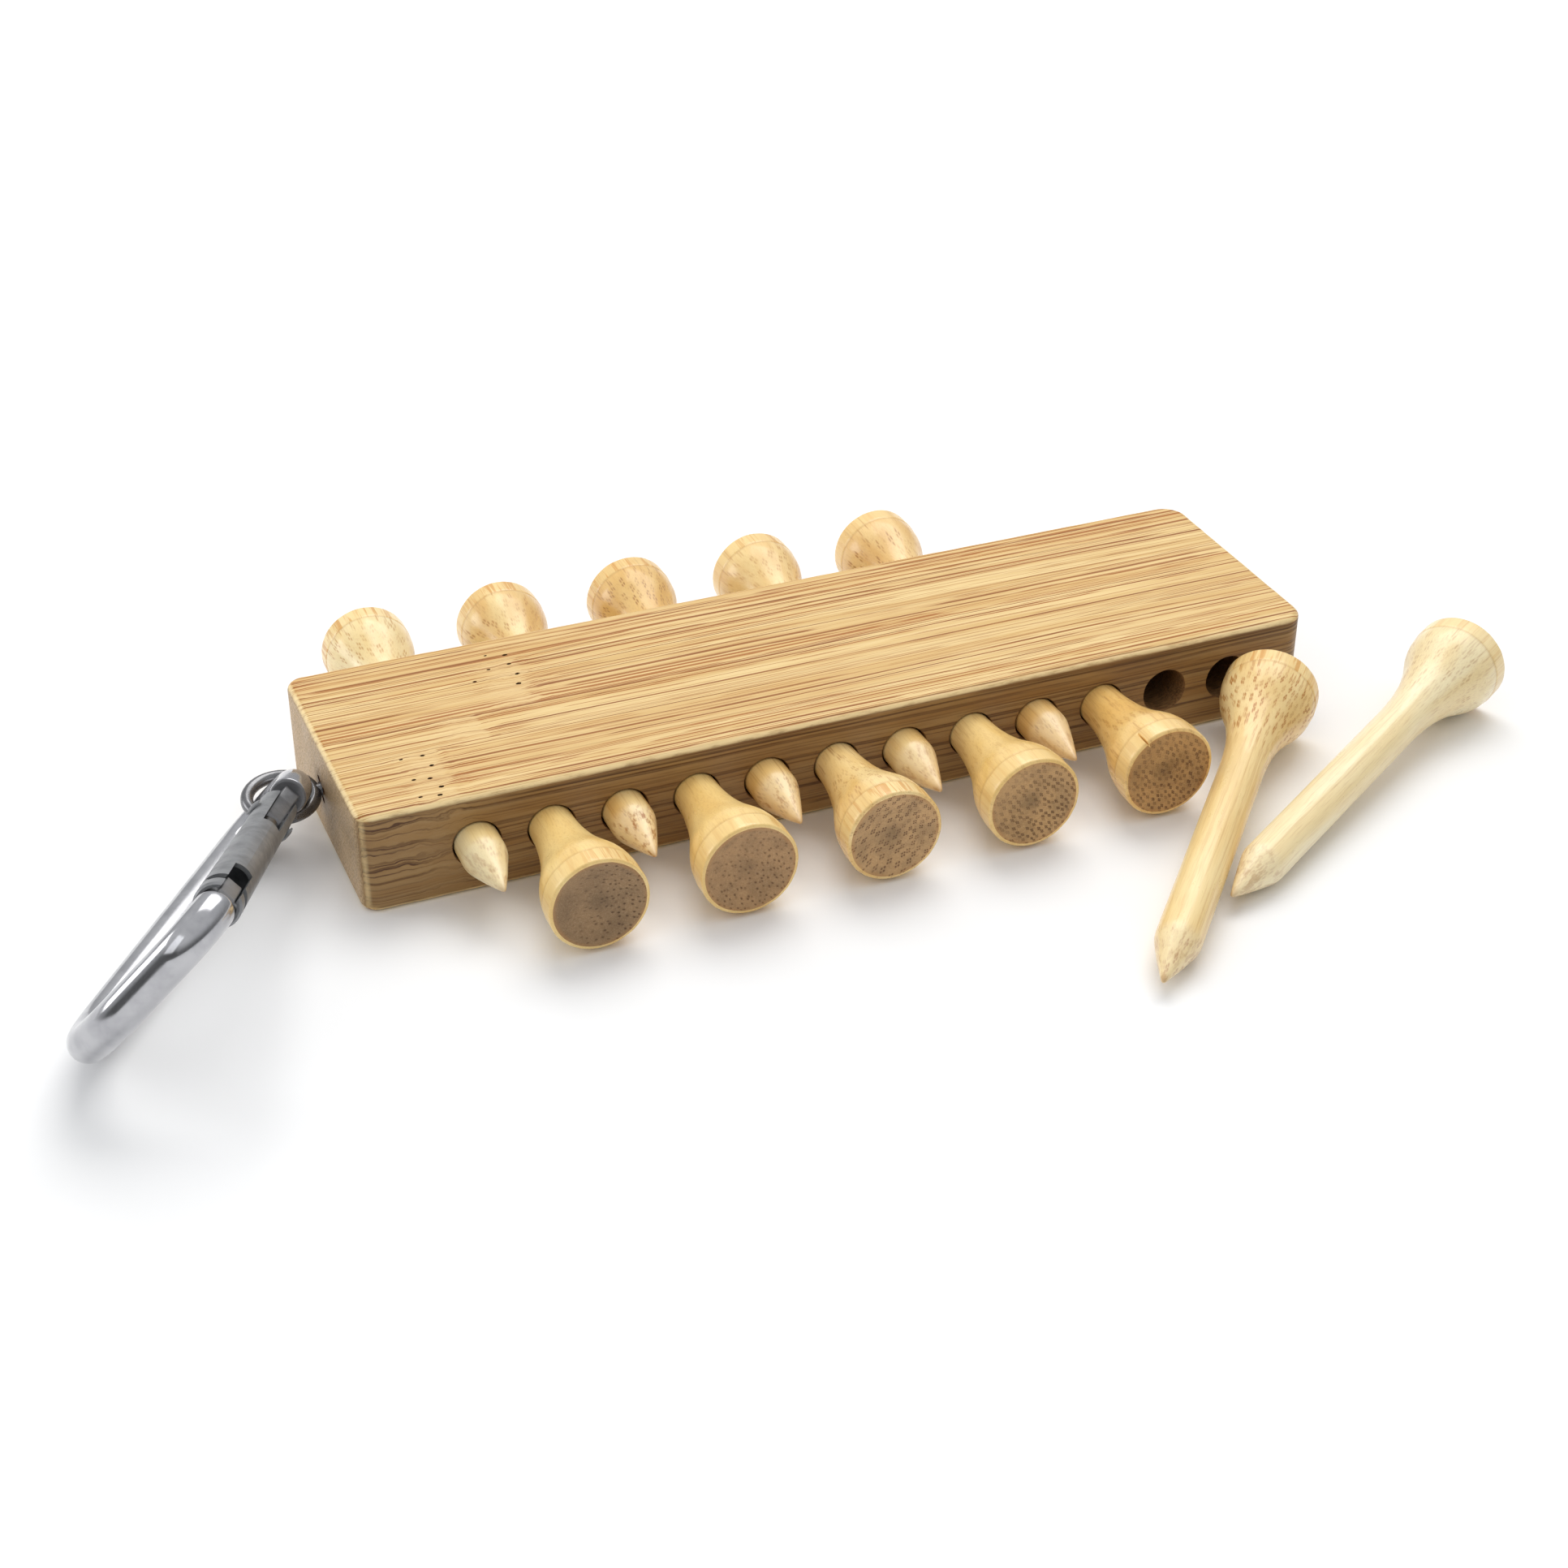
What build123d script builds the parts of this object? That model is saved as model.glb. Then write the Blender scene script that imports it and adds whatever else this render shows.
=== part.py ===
from build123d import *
import math
import os

os.makedirs("parts", exist_ok=True)

# ---------------------------------------------------------------------------
# Pocket golf-tee holder: a bamboo block with twelve cross holes, ten bamboo
# tees parked in it head to tail, two more tees lying loose in front of it,
# a screw eye in the left end and a small snap hook hanging from the eye.
#
# Row frame: millimetres, +Z up, +X along the block (the snap hook is at -X),
# -Y towards the side where the loose tees lie. The origin is the centre of
# the block's bottom face.
# ---------------------------------------------------------------------------

# ---- block -----------------------------------------------------------------
block_length = 114.0
block_width = 31.5
block_height = 12.0
corner_radius_left = 2.0        # vertical corners at the screw-eye end
corner_radius_right = 3.0       # vertical corners at the plain end
edge_radius = 0.8               # sanded arris all round top and bottom
hole_radius = 2.65
hole_count = 12
hole_pitch = 8.267
first_hole_x = -block_length / 2 + 12.62
hole_z = block_height / 2
mouth_chamfer = 0.2
pilot_radius = 0.72             # pilot hole for the screw eye
pilot_depth = 9.0

# ---- tee -------------------------------------------------------------------
tee_length = 55.0
shaft_radius = 2.49
rim_length = 2.33
tip_length = 6.3
tip_end_radius = 0.24
dish_depth = 0.55
dish_land = 0.55                # flat lip round the dish
head_radius_near = 5.5          # tees whose heads are on the -Y side
head_radius_far = 5.3           # tees whose heads are on the +Y side
head_radius_loose = 5.55
near_head_stand_out = 15.57     # head face beyond the -Y side of the block
near_tip_stand_out = 9.48       # point beyond the -Y side of the block
# neck of the tee: distance from the head face, radius
neck_profile = [
    (3.4, 0.972), (4.5, 0.925), (5.5, 0.858), (6.5, 0.784), (7.5, 0.714),
    (8.5, 0.655), (9.5, 0.606), (10.5, 0.565), (11.5, 0.531), (12.5, 0.503),
    (13.5, 0.482), (14.6, 0.468),
]
neck_end = 17.2

# ---- screw eye -------------------------------------------------------------
ring_radius = 3.65              # to the centre of the wire
wire_radius = 0.70
ring_gap = 0.08                 # ring to the end of the block
ring_tilt = 7.0                 # the eye was stopped with its front edge turned down this much
ring_centre = (-block_length / 2 - ring_radius - wire_radius - ring_gap, 0.75, 6.15)
shank_minor_radius = 0.72
shank_crest_radius = 1.02
shank_length = 8.6
thread_pitch = 1.1

# ---- snap hook (its own flat frame: u along the spine, v towards the gate) ---
rod_radius = 2.0
narrow_bend_radius = 5.1
spine_straight = 31.4
wide_bend_radius = 9.5
limb_angle = 16.5               # limb leaves the narrow bend at this angle
narrow_run = 3.0                # straight rod between the narrow bend and the gate
hook_axis_heading = -126.2      # heading of the spine in plan, degrees from +X
hook_axis_climb = 1.55          # climb of the spine away from the eye
hook_lean = 41.0                # lean of the hook's plane from upright
hook_apex = (-61.55, 0.87, 5.84)  # centre of the rod at the narrow end

gate_start = (7.00, 9.75)       # pivot end of the gate's centreline
gate_angle = 21.6
gate_length = 34.0
gate_radius_pivot = 2.02
gate_radius_nose = 2.32
gate_wall = 0.5
tongue_half = 0.92              # half thickness of the flattened rod ends
slot_half = 1.04                # half width of the slots in the gate
pivot_at = 5.0                  # pivot pin, from the gate's end
pivot_window = 11.2
pivot_fork = 7.3
nose_window = 6.8
pivot_pin_radius = 0.72
latch_pin_radius = 0.55
latch_at = 31.7                 # latch pin, from the gate's pivot end
spring_bore_depth = 19.3
nose_bore_depth = 7.8
nose_corner = (42.5, 23.7)      # where the limb turns into the wide bend
nose_corner_radius = 3.6


# ---------------------------------------------------------------------------
# Block
# ---------------------------------------------------------------------------
hole_x = [first_hole_x + i * hole_pitch for i in range(hole_count)]

with BuildPart() as holder_block:
    with BuildSketch():
        Rectangle(block_length, block_width)
    extrude(amount=block_height)
    fillet(holder_block.edges().filter_by(Axis.Z).group_by(Axis.X)[0], radius=corner_radius_left)
    fillet(holder_block.edges().filter_by(Axis.Z).group_by(Axis.X)[-1], radius=corner_radius_right)
    fillet(holder_block.faces().sort_by(Axis.Z)[-1].edges(), radius=edge_radius)
    fillet(holder_block.faces().sort_by(Axis.Z)[0].edges(), radius=edge_radius)
    with BuildSketch(Plane.XZ.offset(-block_width / 2)):
        with Locations(*[(x, hole_z) for x in hole_x]):
            Circle(hole_radius)
    extrude(amount=block_width, mode=Mode.SUBTRACT)
    mouths = holder_block.edges().filter_by(GeomType.CIRCLE).filter_by(
        lambda e: abs(e.radius - hole_radius) < 1e-3 and abs(abs(e.center().Y) - block_width / 2) < 1e-3)
    chamfer(mouths, length=mouth_chamfer)
    # pilot hole for the screw eye, in the middle of the left end
    with BuildSketch(Plane(origin=(-block_length / 2, ring_centre[1], ring_centre[2]),
                           x_dir=(0, 1, 0), z_dir=(1, 0, 0))):
        Circle(pilot_radius)
    extrude(amount=pilot_depth, mode=Mode.SUBTRACT)
holder_block.part.label = "holder_block"
export_step(holder_block.part, "parts/holder_block.step")


# ---------------------------------------------------------------------------
# Tees
# ---------------------------------------------------------------------------
def make_tee(origin, axis_dir, head_radius, dish):
    """A turned tee: the head face's centre is at origin and the tee runs along axis_dir to its point."""
    axis_dir = Vector(*axis_dir).normalized()
    side = Vector(0, 0, 1).cross(axis_dir).normalized()
    plane = Plane(origin=origin, x_dir=axis_dir, z_dir=side)     # x along the tee, y radial
    edge = 0.3
    neck = [(d, f * head_radius) for d, f in neck_profile]
    with BuildPart() as tee:
        with BuildSketch(plane):
            with BuildLine():
                rim_face = head_radius - dish_land
                l0 = Line((dish, 0), (dish, 0.6))
                b0 = Bezier((dish, 0.6), (dish, rim_face * 0.72), (0.05, rim_face * 0.95), (0, rim_face))
                l1 = Line(b0 @ 1, (0, head_radius - edge))
                a1 = RadiusArc(l1 @ 1, (edge, head_radius), edge)
                l2 = Line(a1 @ 1, (rim_length, head_radius))
                s1 = Spline(l2 @ 1, *neck, (neck_end, shaft_radius),
                            tangents=((1, -0.10), (1, 0)))
                l3 = Line(s1 @ 1, (tee_length - tip_length - 0.9, shaft_radius))
                b1 = Bezier(l3 @ 1, (tee_length - tip_length, shaft_radius),
                            (tee_length - tip_length + 0.85, shaft_radius - 0.85 * 0.37))
                l4 = Line(b1 @ 1, (tee_length - 0.22, tip_end_radius + 0.06))
                l5 = Line(l4 @ 1, (tee_length, tip_end_radius * 0.45))
                l6 = Line(l5 @ 1, (tee_length, 0))
                l7 = Line(l6 @ 1, (dish, 0))
            make_face()
        revolve(axis=Axis(origin, tuple(axis_dir)))
    return tee


far_head_stand_out = tee_length - block_width - near_tip_stand_out
for i in range(10):
    if i % 2 == 0:      # point on the -Y side, head on the +Y side
        y_head = block_width / 2 + far_head_stand_out
        t = make_tee((hole_x[i], y_head, hole_z), (0, -1, 0), head_radius_far, dish_depth)
    else:               # head on the -Y side, point on the +Y side
        y_head = -block_width / 2 - near_head_stand_out
        t = make_tee((hole_x[i], y_head, hole_z), (0, 1, 0), head_radius_near, dish_depth)
    t.part.label = f"tee_{i + 1:02d}"
    export_step(t.part, f"parts/tee_{i + 1:02d}.step")

# loose tees: they lie on the rim of the head and on the end of the shaft
rest_slope = math.atan((head_radius_loose - shaft_radius) / (tee_length - rim_length - tip_length))
tip_height = shaft_radius * math.cos(rest_slope) - tip_length * math.sin(rest_slope) + 0.02
loose_tees = [("loose_tee_1", (13.25, -60.35), 47.66), ("loose_tee_2", (27.35, -49.95), 30.33)]
for name, (tx, ty), heading in loose_tees:
    h = math.radians(heading)
    d = (math.cos(rest_slope) * math.cos(h), math.cos(rest_slope) * math.sin(h), math.sin(rest_slope))
    head = (tx + tee_length * d[0], ty + tee_length * d[1], tip_height + tee_length * d[2])
    t = make_tee(head, (-d[0], -d[1], -d[2]), head_radius_loose, dish_depth)
    t.part.label = name
    export_step(t.part, f"parts/{name}.step")


# ---------------------------------------------------------------------------
# Screw eye: a wire ring, a short neck and a threaded shank
# ---------------------------------------------------------------------------
cx, cy, cz = ring_centre
with BuildPart() as screw_eye:
    tilt = math.radians(ring_tilt)
    ring_normal = (0, -math.sin(tilt), math.cos(tilt))
    with BuildSketch(Plane(origin=(cx, cy, cz), x_dir=(0, math.cos(tilt), math.sin(tilt)), z_dir=(1, 0, 0))):
        with Locations((ring_radius, 0)):
            Circle(wire_radius)
    revolve(axis=Axis((cx, cy, cz), ring_normal))
    # neck and shank, turned about X
    x0 = cx + ring_radius
    face_x = -block_length / 2
    with BuildSketch(Plane(origin=(x0, cy, cz), x_dir=(1, 0, 0), z_dir=(0, -1, 0))):
        with BuildLine():
            pts = [(0, 0), (0, 0.62), (face_x - x0, 0.70), (face_x - x0, shank_minor_radius)]
            x = face_x - x0 + 0.6
            pts.append((x, shank_minor_radius))
            end = face_x - x0 + shank_length
            while x + thread_pitch < end - 1.4:
                pts += [(x + 0.36 * thread_pitch, shank_crest_radius),
                        (x + 0.50 * thread_pitch, shank_crest_radius),
                        (x + 0.86 * thread_pitch, shank_minor_radius),
                        (x + thread_pitch, shank_minor_radius)]
                x += thread_pitch
            pts += [(end - 0.9, shank_minor_radius), (end, 0.08), (end, 0)]
            Polyline(*pts, close=True)
        make_face()
    revolve(axis=Axis((x0, cy, cz), (1, 0, 0)))
screw_eye.part.label = "screw_eye"
export_step(screw_eye.part, "parts/screw_eye.step")


# ---------------------------------------------------------------------------
# Snap hook
# ---------------------------------------------------------------------------
hd, cl, ln = math.radians(hook_axis_heading), math.radians(hook_axis_climb), math.radians(hook_lean)
a_dir = Vector(math.cos(cl) * math.cos(hd), math.cos(cl) * math.sin(hd), math.sin(cl))
side = Vector(0, 0, 1).cross(a_dir).normalized()
upward = a_dir.cross(side)
b_dir = upward * math.cos(ln) + side * math.sin(ln)
n_dir = a_dir.cross(b_dir)
# the rod's centre at the narrow end is (0, narrow_bend_radius) in the hook's frame
hook_origin = Vector(*hook_apex) - b_dir * narrow_bend_radius
hook = Plane(origin=hook_origin, x_dir=a_dir, z_dir=n_dir)


def hook_point(u, v, w=0.0):
    return hook_origin + a_dir * u + b_dir * v + n_dir * w


ga = math.radians(gate_angle)
gate_dir = a_dir * math.cos(ga) + b_dir * math.sin(ga)
gate_up = b_dir * math.cos(ga) - a_dir * math.sin(ga)
gate_origin = hook_point(*gate_start)
gate_plane = Plane(origin=gate_origin, x_dir=gate_dir, z_dir=n_dir)   # x = s along the gate, y = t outward


def gate_point(s, t, w=0.0):
    return gate_origin + gate_dir * s + gate_up * t + n_dir * w


# tangent from the nose corner to the wide bend
wc = (narrow_bend_radius + spine_straight, wide_bend_radius)
wx, wy = wc[0] - nose_corner[0], wc[1] - nose_corner[1]
wd = math.hypot(wx, wy)
tangent_heading = math.atan2(wy, wx) + math.asin(wide_bend_radius / wd)
tangent_length = math.sqrt(wd * wd - wide_bend_radius ** 2)
wide_sweep = math.degrees(tangent_heading) + 180.0            # turn of the wide bend
corner_turn = 180.0 + gate_angle - wide_sweep
corner_trim = nose_corner_radius * math.tan(math.radians(corner_turn / 2))

pivot_shoulder = -1.0
nose_shoulder = gate_length + 0.35

# rod from the nose, round the wide bend, along the spine and round the narrow bend
with BuildPart() as carabiner_body:
    with BuildLine(hook) as rod_path:
        spine = Line((narrow_bend_radius, 0), (narrow_bend_radius + spine_straight, 0))
        wide = JernArc(start=(narrow_bend_radius + spine_straight, 0), tangent=(1, 0),
                       radius=wide_bend_radius, arc_size=wide_sweep)
        wt = math.radians(wide_sweep)
        w_end = (wc[0] + wide_bend_radius * math.sin(wt), wc[1] - wide_bend_radius * math.cos(wt))
        run = tangent_length - corner_trim
        l_end = (w_end[0] + run * math.cos(wt), w_end[1] + run * math.sin(wt))
        limb = Line(w_end, l_end)
        corner = JernArc(start=l_end, tangent=(math.cos(wt), math.sin(wt)),
                         radius=nose_corner_radius, arc_size=corner_turn)
        ct = math.radians(wide_sweep + corner_turn)
        c_end = (nose_corner[0] + corner_trim * math.cos(ct), nose_corner[1] + corner_trim * math.sin(ct))
        nose_run = Line(c_end, (c_end[0] + 3.2 * math.cos(ct), c_end[1] + 3.2 * math.sin(ct)))
        narrow = JernArc(start=(narrow_bend_radius, 0), tangent=(-1, 0),
                         radius=narrow_bend_radius, arc_size=-(180.0 - limb_angle))
        la = math.radians(limb_angle)
        n_end = (narrow_bend_radius * (1 - math.sin(la)), narrow_bend_radius * (1 + math.cos(la)))
        narrow_limb = Line(n_end, (n_end[0] + narrow_run * math.cos(la), n_end[1] + narrow_run * math.sin(la)))
    with BuildSketch(Plane(origin=hook_point(narrow_bend_radius, 0), z_dir=a_dir)):
        Circle(rod_radius)
    sweep(path=Wire([spine, wide, limb, corner, nose_run]))
    with BuildSketch(Plane(origin=hook_point(narrow_bend_radius, 0), z_dir=-a_dir)):
        Circle(rod_radius)
    sweep(path=Wire([narrow, narrow_limb]))
    # square shoulders where the round rod stops, just clear of both ends of the gate
    with BuildSketch(Plane(origin=gate_point(pivot_shoulder, 0), x_dir=gate_up, z_dir=gate_dir)):
        with Locations((0, 0)):
            Rectangle(14, 8)
    extrude(amount=nose_shoulder - pivot_shoulder, mode=Mode.SUBTRACT)
    # flattened tongues that enter the gate
    with BuildSketch(gate_plane):
        with BuildLine():
            Polyline((pivot_shoulder - 1.2, -0.35), (pivot_shoulder - 1.2, 2.6), (pivot_shoulder + 0.05, 2.35),
                     (0.9, 1.5), (pivot_at + 1.9, 1.18), (pivot_at + 2.0, 1.0), (pivot_at + 2.0, -0.9),
                     (pivot_at + 1.7, -1.15), (pivot_at - 1.0, -1.25), (0.4, -0.9), (pivot_shoulder + 0.05, -0.35), close=True)
        make_face()
    extrude(amount=tongue_half, both=True)
    with BuildSketch(gate_plane):
        with BuildLine():
            Polyline((nose_shoulder + 1.2, -2.1), (nose_shoulder + 1.2, 0.8), (nose_shoulder - 0.05, 0.95),
                     (latch_at - 2.6, 1.0), (latch_at - 3.1, 0.75), (latch_at - 3.1, -1.0), (latch_at - 2.8, -1.2),
                     (nose_shoulder - 1.3, -1.3), (nose_shoulder - 0.05, -1.6), close=True)
        make_face()
    extrude(amount=tongue_half, both=True)
    # pin holes through the tongues
    with BuildSketch(Plane(origin=gate_point(pivot_at, 0, -3), x_dir=gate_dir, z_dir=n_dir)):
        Circle(pivot_pin_radius)
    extrude(amount=6, mode=Mode.SUBTRACT)
    with BuildSketch(Plane(origin=gate_point(latch_at, 0, -3), x_dir=gate_dir, z_dir=n_dir)):
        Circle(latch_pin_radius)
    extrude(amount=6, mode=Mode.SUBTRACT)
carabiner_body.part.label = "carabiner_body"
export_step(carabiner_body.part, "parts/carabiner_body.step")


def gate_radius(s):
    return gate_radius_pivot + (gate_radius_nose - gate_radius_pivot) * s / gate_length


with BuildPart() as carabiner_gate:
    e = 0.22
    with BuildSketch(gate_plane):
        with BuildLine():
            rp, rn = gate_radius_pivot, gate_radius_nose
            bp, bn = rp - gate_wall, rn - gate_wall
            Polyline((0, bp), (0, rp - e), (e, rp), (gate_length - e, rn), (gate_length, rn - e),
                     (gate_length, bn), (gate_length - nose_bore_depth, bn),
                     (gate_length - nose_bore_depth - 0.8, 0), (spring_bore_depth, 0),
                     (spring_bore_depth, bp), close=True)
        make_face()
    revolve(axis=Axis(tuple(gate_origin), tuple(gate_dir)))
    # long outer window at the pivot, short inner slot below it
    with BuildSketch(Plane(origin=gate_point(0, 0), x_dir=gate_dir, z_dir=gate_up)):
        with Locations((pivot_window / 2 - 0.5, 0)):
            Rectangle(pivot_window + 1.0, 2 * slot_half)
    extrude(amount=3, mode=Mode.SUBTRACT)
    with BuildSketch(Plane(origin=gate_point(0, 0), x_dir=gate_dir, z_dir=-gate_up)):
        with Locations((pivot_fork / 2 - 0.5, 0)):
            Rectangle(pivot_fork + 1.0, 2 * slot_half)
    extrude(amount=3, mode=Mode.SUBTRACT)
    # outer window at the nose
    with BuildSketch(Plane(origin=gate_point(gate_length, 0), x_dir=gate_dir, z_dir=gate_up)):
        with Locations((-nose_window / 2 + 0.5, 0)):
            Rectangle(nose_window + 1.0, 2 * slot_half)
    extrude(amount=3, mode=Mode.SUBTRACT)
    # seats for the latch pin, open to the outside
    with BuildSketch(gate_plane):
        with BuildLine():
            r = latch_pin_radius + 0.09
            Polyline((latch_at - r, 3), (latch_at - r, -0.1), (latch_at - r * 0.6, -r * 0.8 - 0.1), (latch_at, -r - 0.1),
                     (latch_at + r * 0.6, -r * 0.8 - 0.1), (latch_at + r, -0.1), (latch_at + r + 0.2, 3), close=True)
        make_face()
    extrude(amount=4, both=True, mode=Mode.SUBTRACT)
    # pivot holes in the two ears
    with BuildSketch(Plane(origin=gate_point(pivot_at, 0, -3), x_dir=gate_dir, z_dir=n_dir)):
        Circle(pivot_pin_radius + 0.06)
    extrude(amount=6, mode=Mode.SUBTRACT)
carabiner_gate.part.label = "carabiner_gate"
export_step(carabiner_gate.part, "parts/carabiner_gate.step")

# pivot rivet with two low heads outside the ears
ear = gate_radius(pivot_at)
with BuildPart() as gate_pivot_rivet:
    with BuildSketch(Plane(origin=gate_point(pivot_at, 0), x_dir=gate_dir, z_dir=gate_up)):
        with BuildLine():
            q = pivot_pin_radius
            Polyline((0, -ear - 0.38), (0, ear + 0.38), (q * 0.7, ear + 0.38), (q + 0.25, ear + 0.2), (q + 0.25, ear + 0.06),
                     (q, ear + 0.06), (q, -ear - 0.06), (q + 0.25, -ear - 0.06), (q + 0.25, -ear - 0.2),
                     (q * 0.7, -ear - 0.38), close=True)
        make_face()
    revolve(axis=Axis(tuple(gate_point(pivot_at, 0)), tuple(n_dir)))
gate_pivot_rivet.part.label = "gate_pivot_rivet"
export_step(gate_pivot_rivet.part, "parts/gate_pivot_rivet.step")

# latch pin across the nose tongue
half = gate_radius(latch_at) - 0.02
with BuildPart() as gate_latch_pin:
    with BuildSketch(Plane(origin=gate_point(latch_at, 0, -half), x_dir=gate_dir, z_dir=n_dir)):
        Circle(latch_pin_radius)
    extrude(amount=2 * half)
    chamfer(gate_latch_pin.edges().filter_by(GeomType.CIRCLE), length=0.12)
gate_latch_pin.part.label = "gate_latch_pin"
export_step(gate_latch_pin.part, "parts/gate_latch_pin.step")

# plunger that the spring presses on the end of the pivot tongue
plunger_start = pivot_at + 2.0 + 0.05
plunger_radius = 1.3
with BuildPart() as gate_plunger:
    with BuildSketch(gate_plane):
        with BuildLine():
            Polyline((plunger_start, 0), (plunger_start, 0.9), (plunger_start + 0.4, plunger_radius),
                     (plunger_start + 3.0, plunger_radius), (plunger_start + 3.0, 0.75),
                     (plunger_start + 5.5, 0.7), (plunger_start + 5.5, 0), close=True)
        make_face()
    revolve(axis=Axis(tuple(gate_origin), tuple(gate_dir)))
gate_plunger.part.label = "gate_plunger"
export_step(gate_plunger.part, "parts/gate_plunger.step")

# compression spring between the plunger's collar and the web in the gate
spring_start = plunger_start + 3.0 + 0.22
spring_end = spring_bore_depth - 0.22
spring_wire = 0.17
spring_radius = 1.1
turns = 8
with BuildPart() as gate_spring:
    with BuildLine():
        coil = Helix(pitch=(spring_end - spring_start) / turns, height=spring_end - spring_start,
                     radius=spring_radius, center=tuple(gate_point(spring_start, 0)), direction=tuple(gate_dir))
    with BuildSketch(Plane(origin=coil @ 0, z_dir=coil % 0)):
        Circle(spring_wire)
    sweep(path=coil, is_frenet=True)
gate_spring.part.label = "gate_spring"
export_step(gate_spring.part, "parts/gate_spring.step")

print("hook length", narrow_bend_radius + spine_straight + wide_bend_radius + 2 * rod_radius)
print("swivel point", ring_centre, "axis", ring_normal)
print("pivot point", tuple(gate_point(pivot_at, 0)), "axis n", tuple(n_dir))
print("gate dir", tuple(gate_dir), "gate up", tuple(gate_up))
print("a", tuple(a_dir), "b", tuple(b_dir))
print("lowest hook z", carabiner_body.part.bounding_box().min.Z)
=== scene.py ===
import math

import bmesh
import bpy
import numpy as np
from mathutils import Matrix, Vector, noise


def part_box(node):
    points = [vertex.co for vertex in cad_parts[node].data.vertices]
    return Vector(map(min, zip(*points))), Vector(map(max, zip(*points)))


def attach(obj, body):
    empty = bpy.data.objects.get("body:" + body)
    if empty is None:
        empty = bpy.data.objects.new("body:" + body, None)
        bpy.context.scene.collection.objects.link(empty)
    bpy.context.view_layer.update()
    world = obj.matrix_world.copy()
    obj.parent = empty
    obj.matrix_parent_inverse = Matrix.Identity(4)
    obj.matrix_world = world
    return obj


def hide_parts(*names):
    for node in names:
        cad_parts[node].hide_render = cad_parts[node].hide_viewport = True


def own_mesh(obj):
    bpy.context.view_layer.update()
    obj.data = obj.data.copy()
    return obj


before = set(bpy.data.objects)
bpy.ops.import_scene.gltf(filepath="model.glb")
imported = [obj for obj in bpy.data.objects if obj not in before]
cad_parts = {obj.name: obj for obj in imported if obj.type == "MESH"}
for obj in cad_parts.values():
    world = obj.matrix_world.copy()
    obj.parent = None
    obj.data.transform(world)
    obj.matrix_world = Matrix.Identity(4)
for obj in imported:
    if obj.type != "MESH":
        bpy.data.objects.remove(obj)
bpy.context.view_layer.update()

MM = 0.001


# ---------------------------------------------------------------------------
# small helpers
# ---------------------------------------------------------------------------
def srgb(r, g, b, a=1.0):
    def lin(c):
        c /= 255.0
        return c / 12.92 if c <= 0.04045 else ((c + 0.055) / 1.055) ** 2.4
    return (lin(r), lin(g), lin(b), a)


def smoothstep(a, b, x):
    t = np.clip((np.asarray(x, float) - a) / (b - a), 0.0, 1.0)
    return t * t * (3 - 2 * t)


def new_object(name, verts, faces, matrix=None, slots=None):
    me = bpy.data.meshes.new(name)
    me.from_pydata([tuple(v) for v in verts], [], faces)
    me.validate()
    me.update()
    if slots is not None:
        me.polygons.foreach_set("material_index", slots)
    me.polygons.foreach_set("use_smooth", [True] * len(me.polygons))
    ob = bpy.data.objects.new(name, me)
    bpy.context.scene.collection.objects.link(ob)
    if matrix is not None:
        ob.matrix_world = matrix
    bpy.context.view_layer.update()
    return ob


def frame_matrix(origin, ex, ey, ez):
    """Matrix with those columns; origin in millimetres, result in metres."""
    return Matrix(((ex[0], ey[0], ez[0], origin[0] * MM),
                   (ex[1], ey[1], ez[1], origin[1] * MM),
                   (ex[2], ey[2], ez[2], origin[2] * MM),
                   (0, 0, 0, 1)))


def apply_modifiers(ob):
    bpy.context.view_layer.update()
    dg = bpy.context.evaluated_depsgraph_get()
    me = bpy.data.meshes.new_from_object(ob.evaluated_get(dg), preserve_all_data_layers=True, depsgraph=dg)
    ob.modifiers.clear()
    ob.data = me
    return ob


def sharpen(ob, degrees):
    ob.data.polygons.foreach_set("use_smooth", [True] * len(ob.data.polygons))
    ob.data.set_sharp_from_angle(angle=math.radians(degrees))


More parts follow.
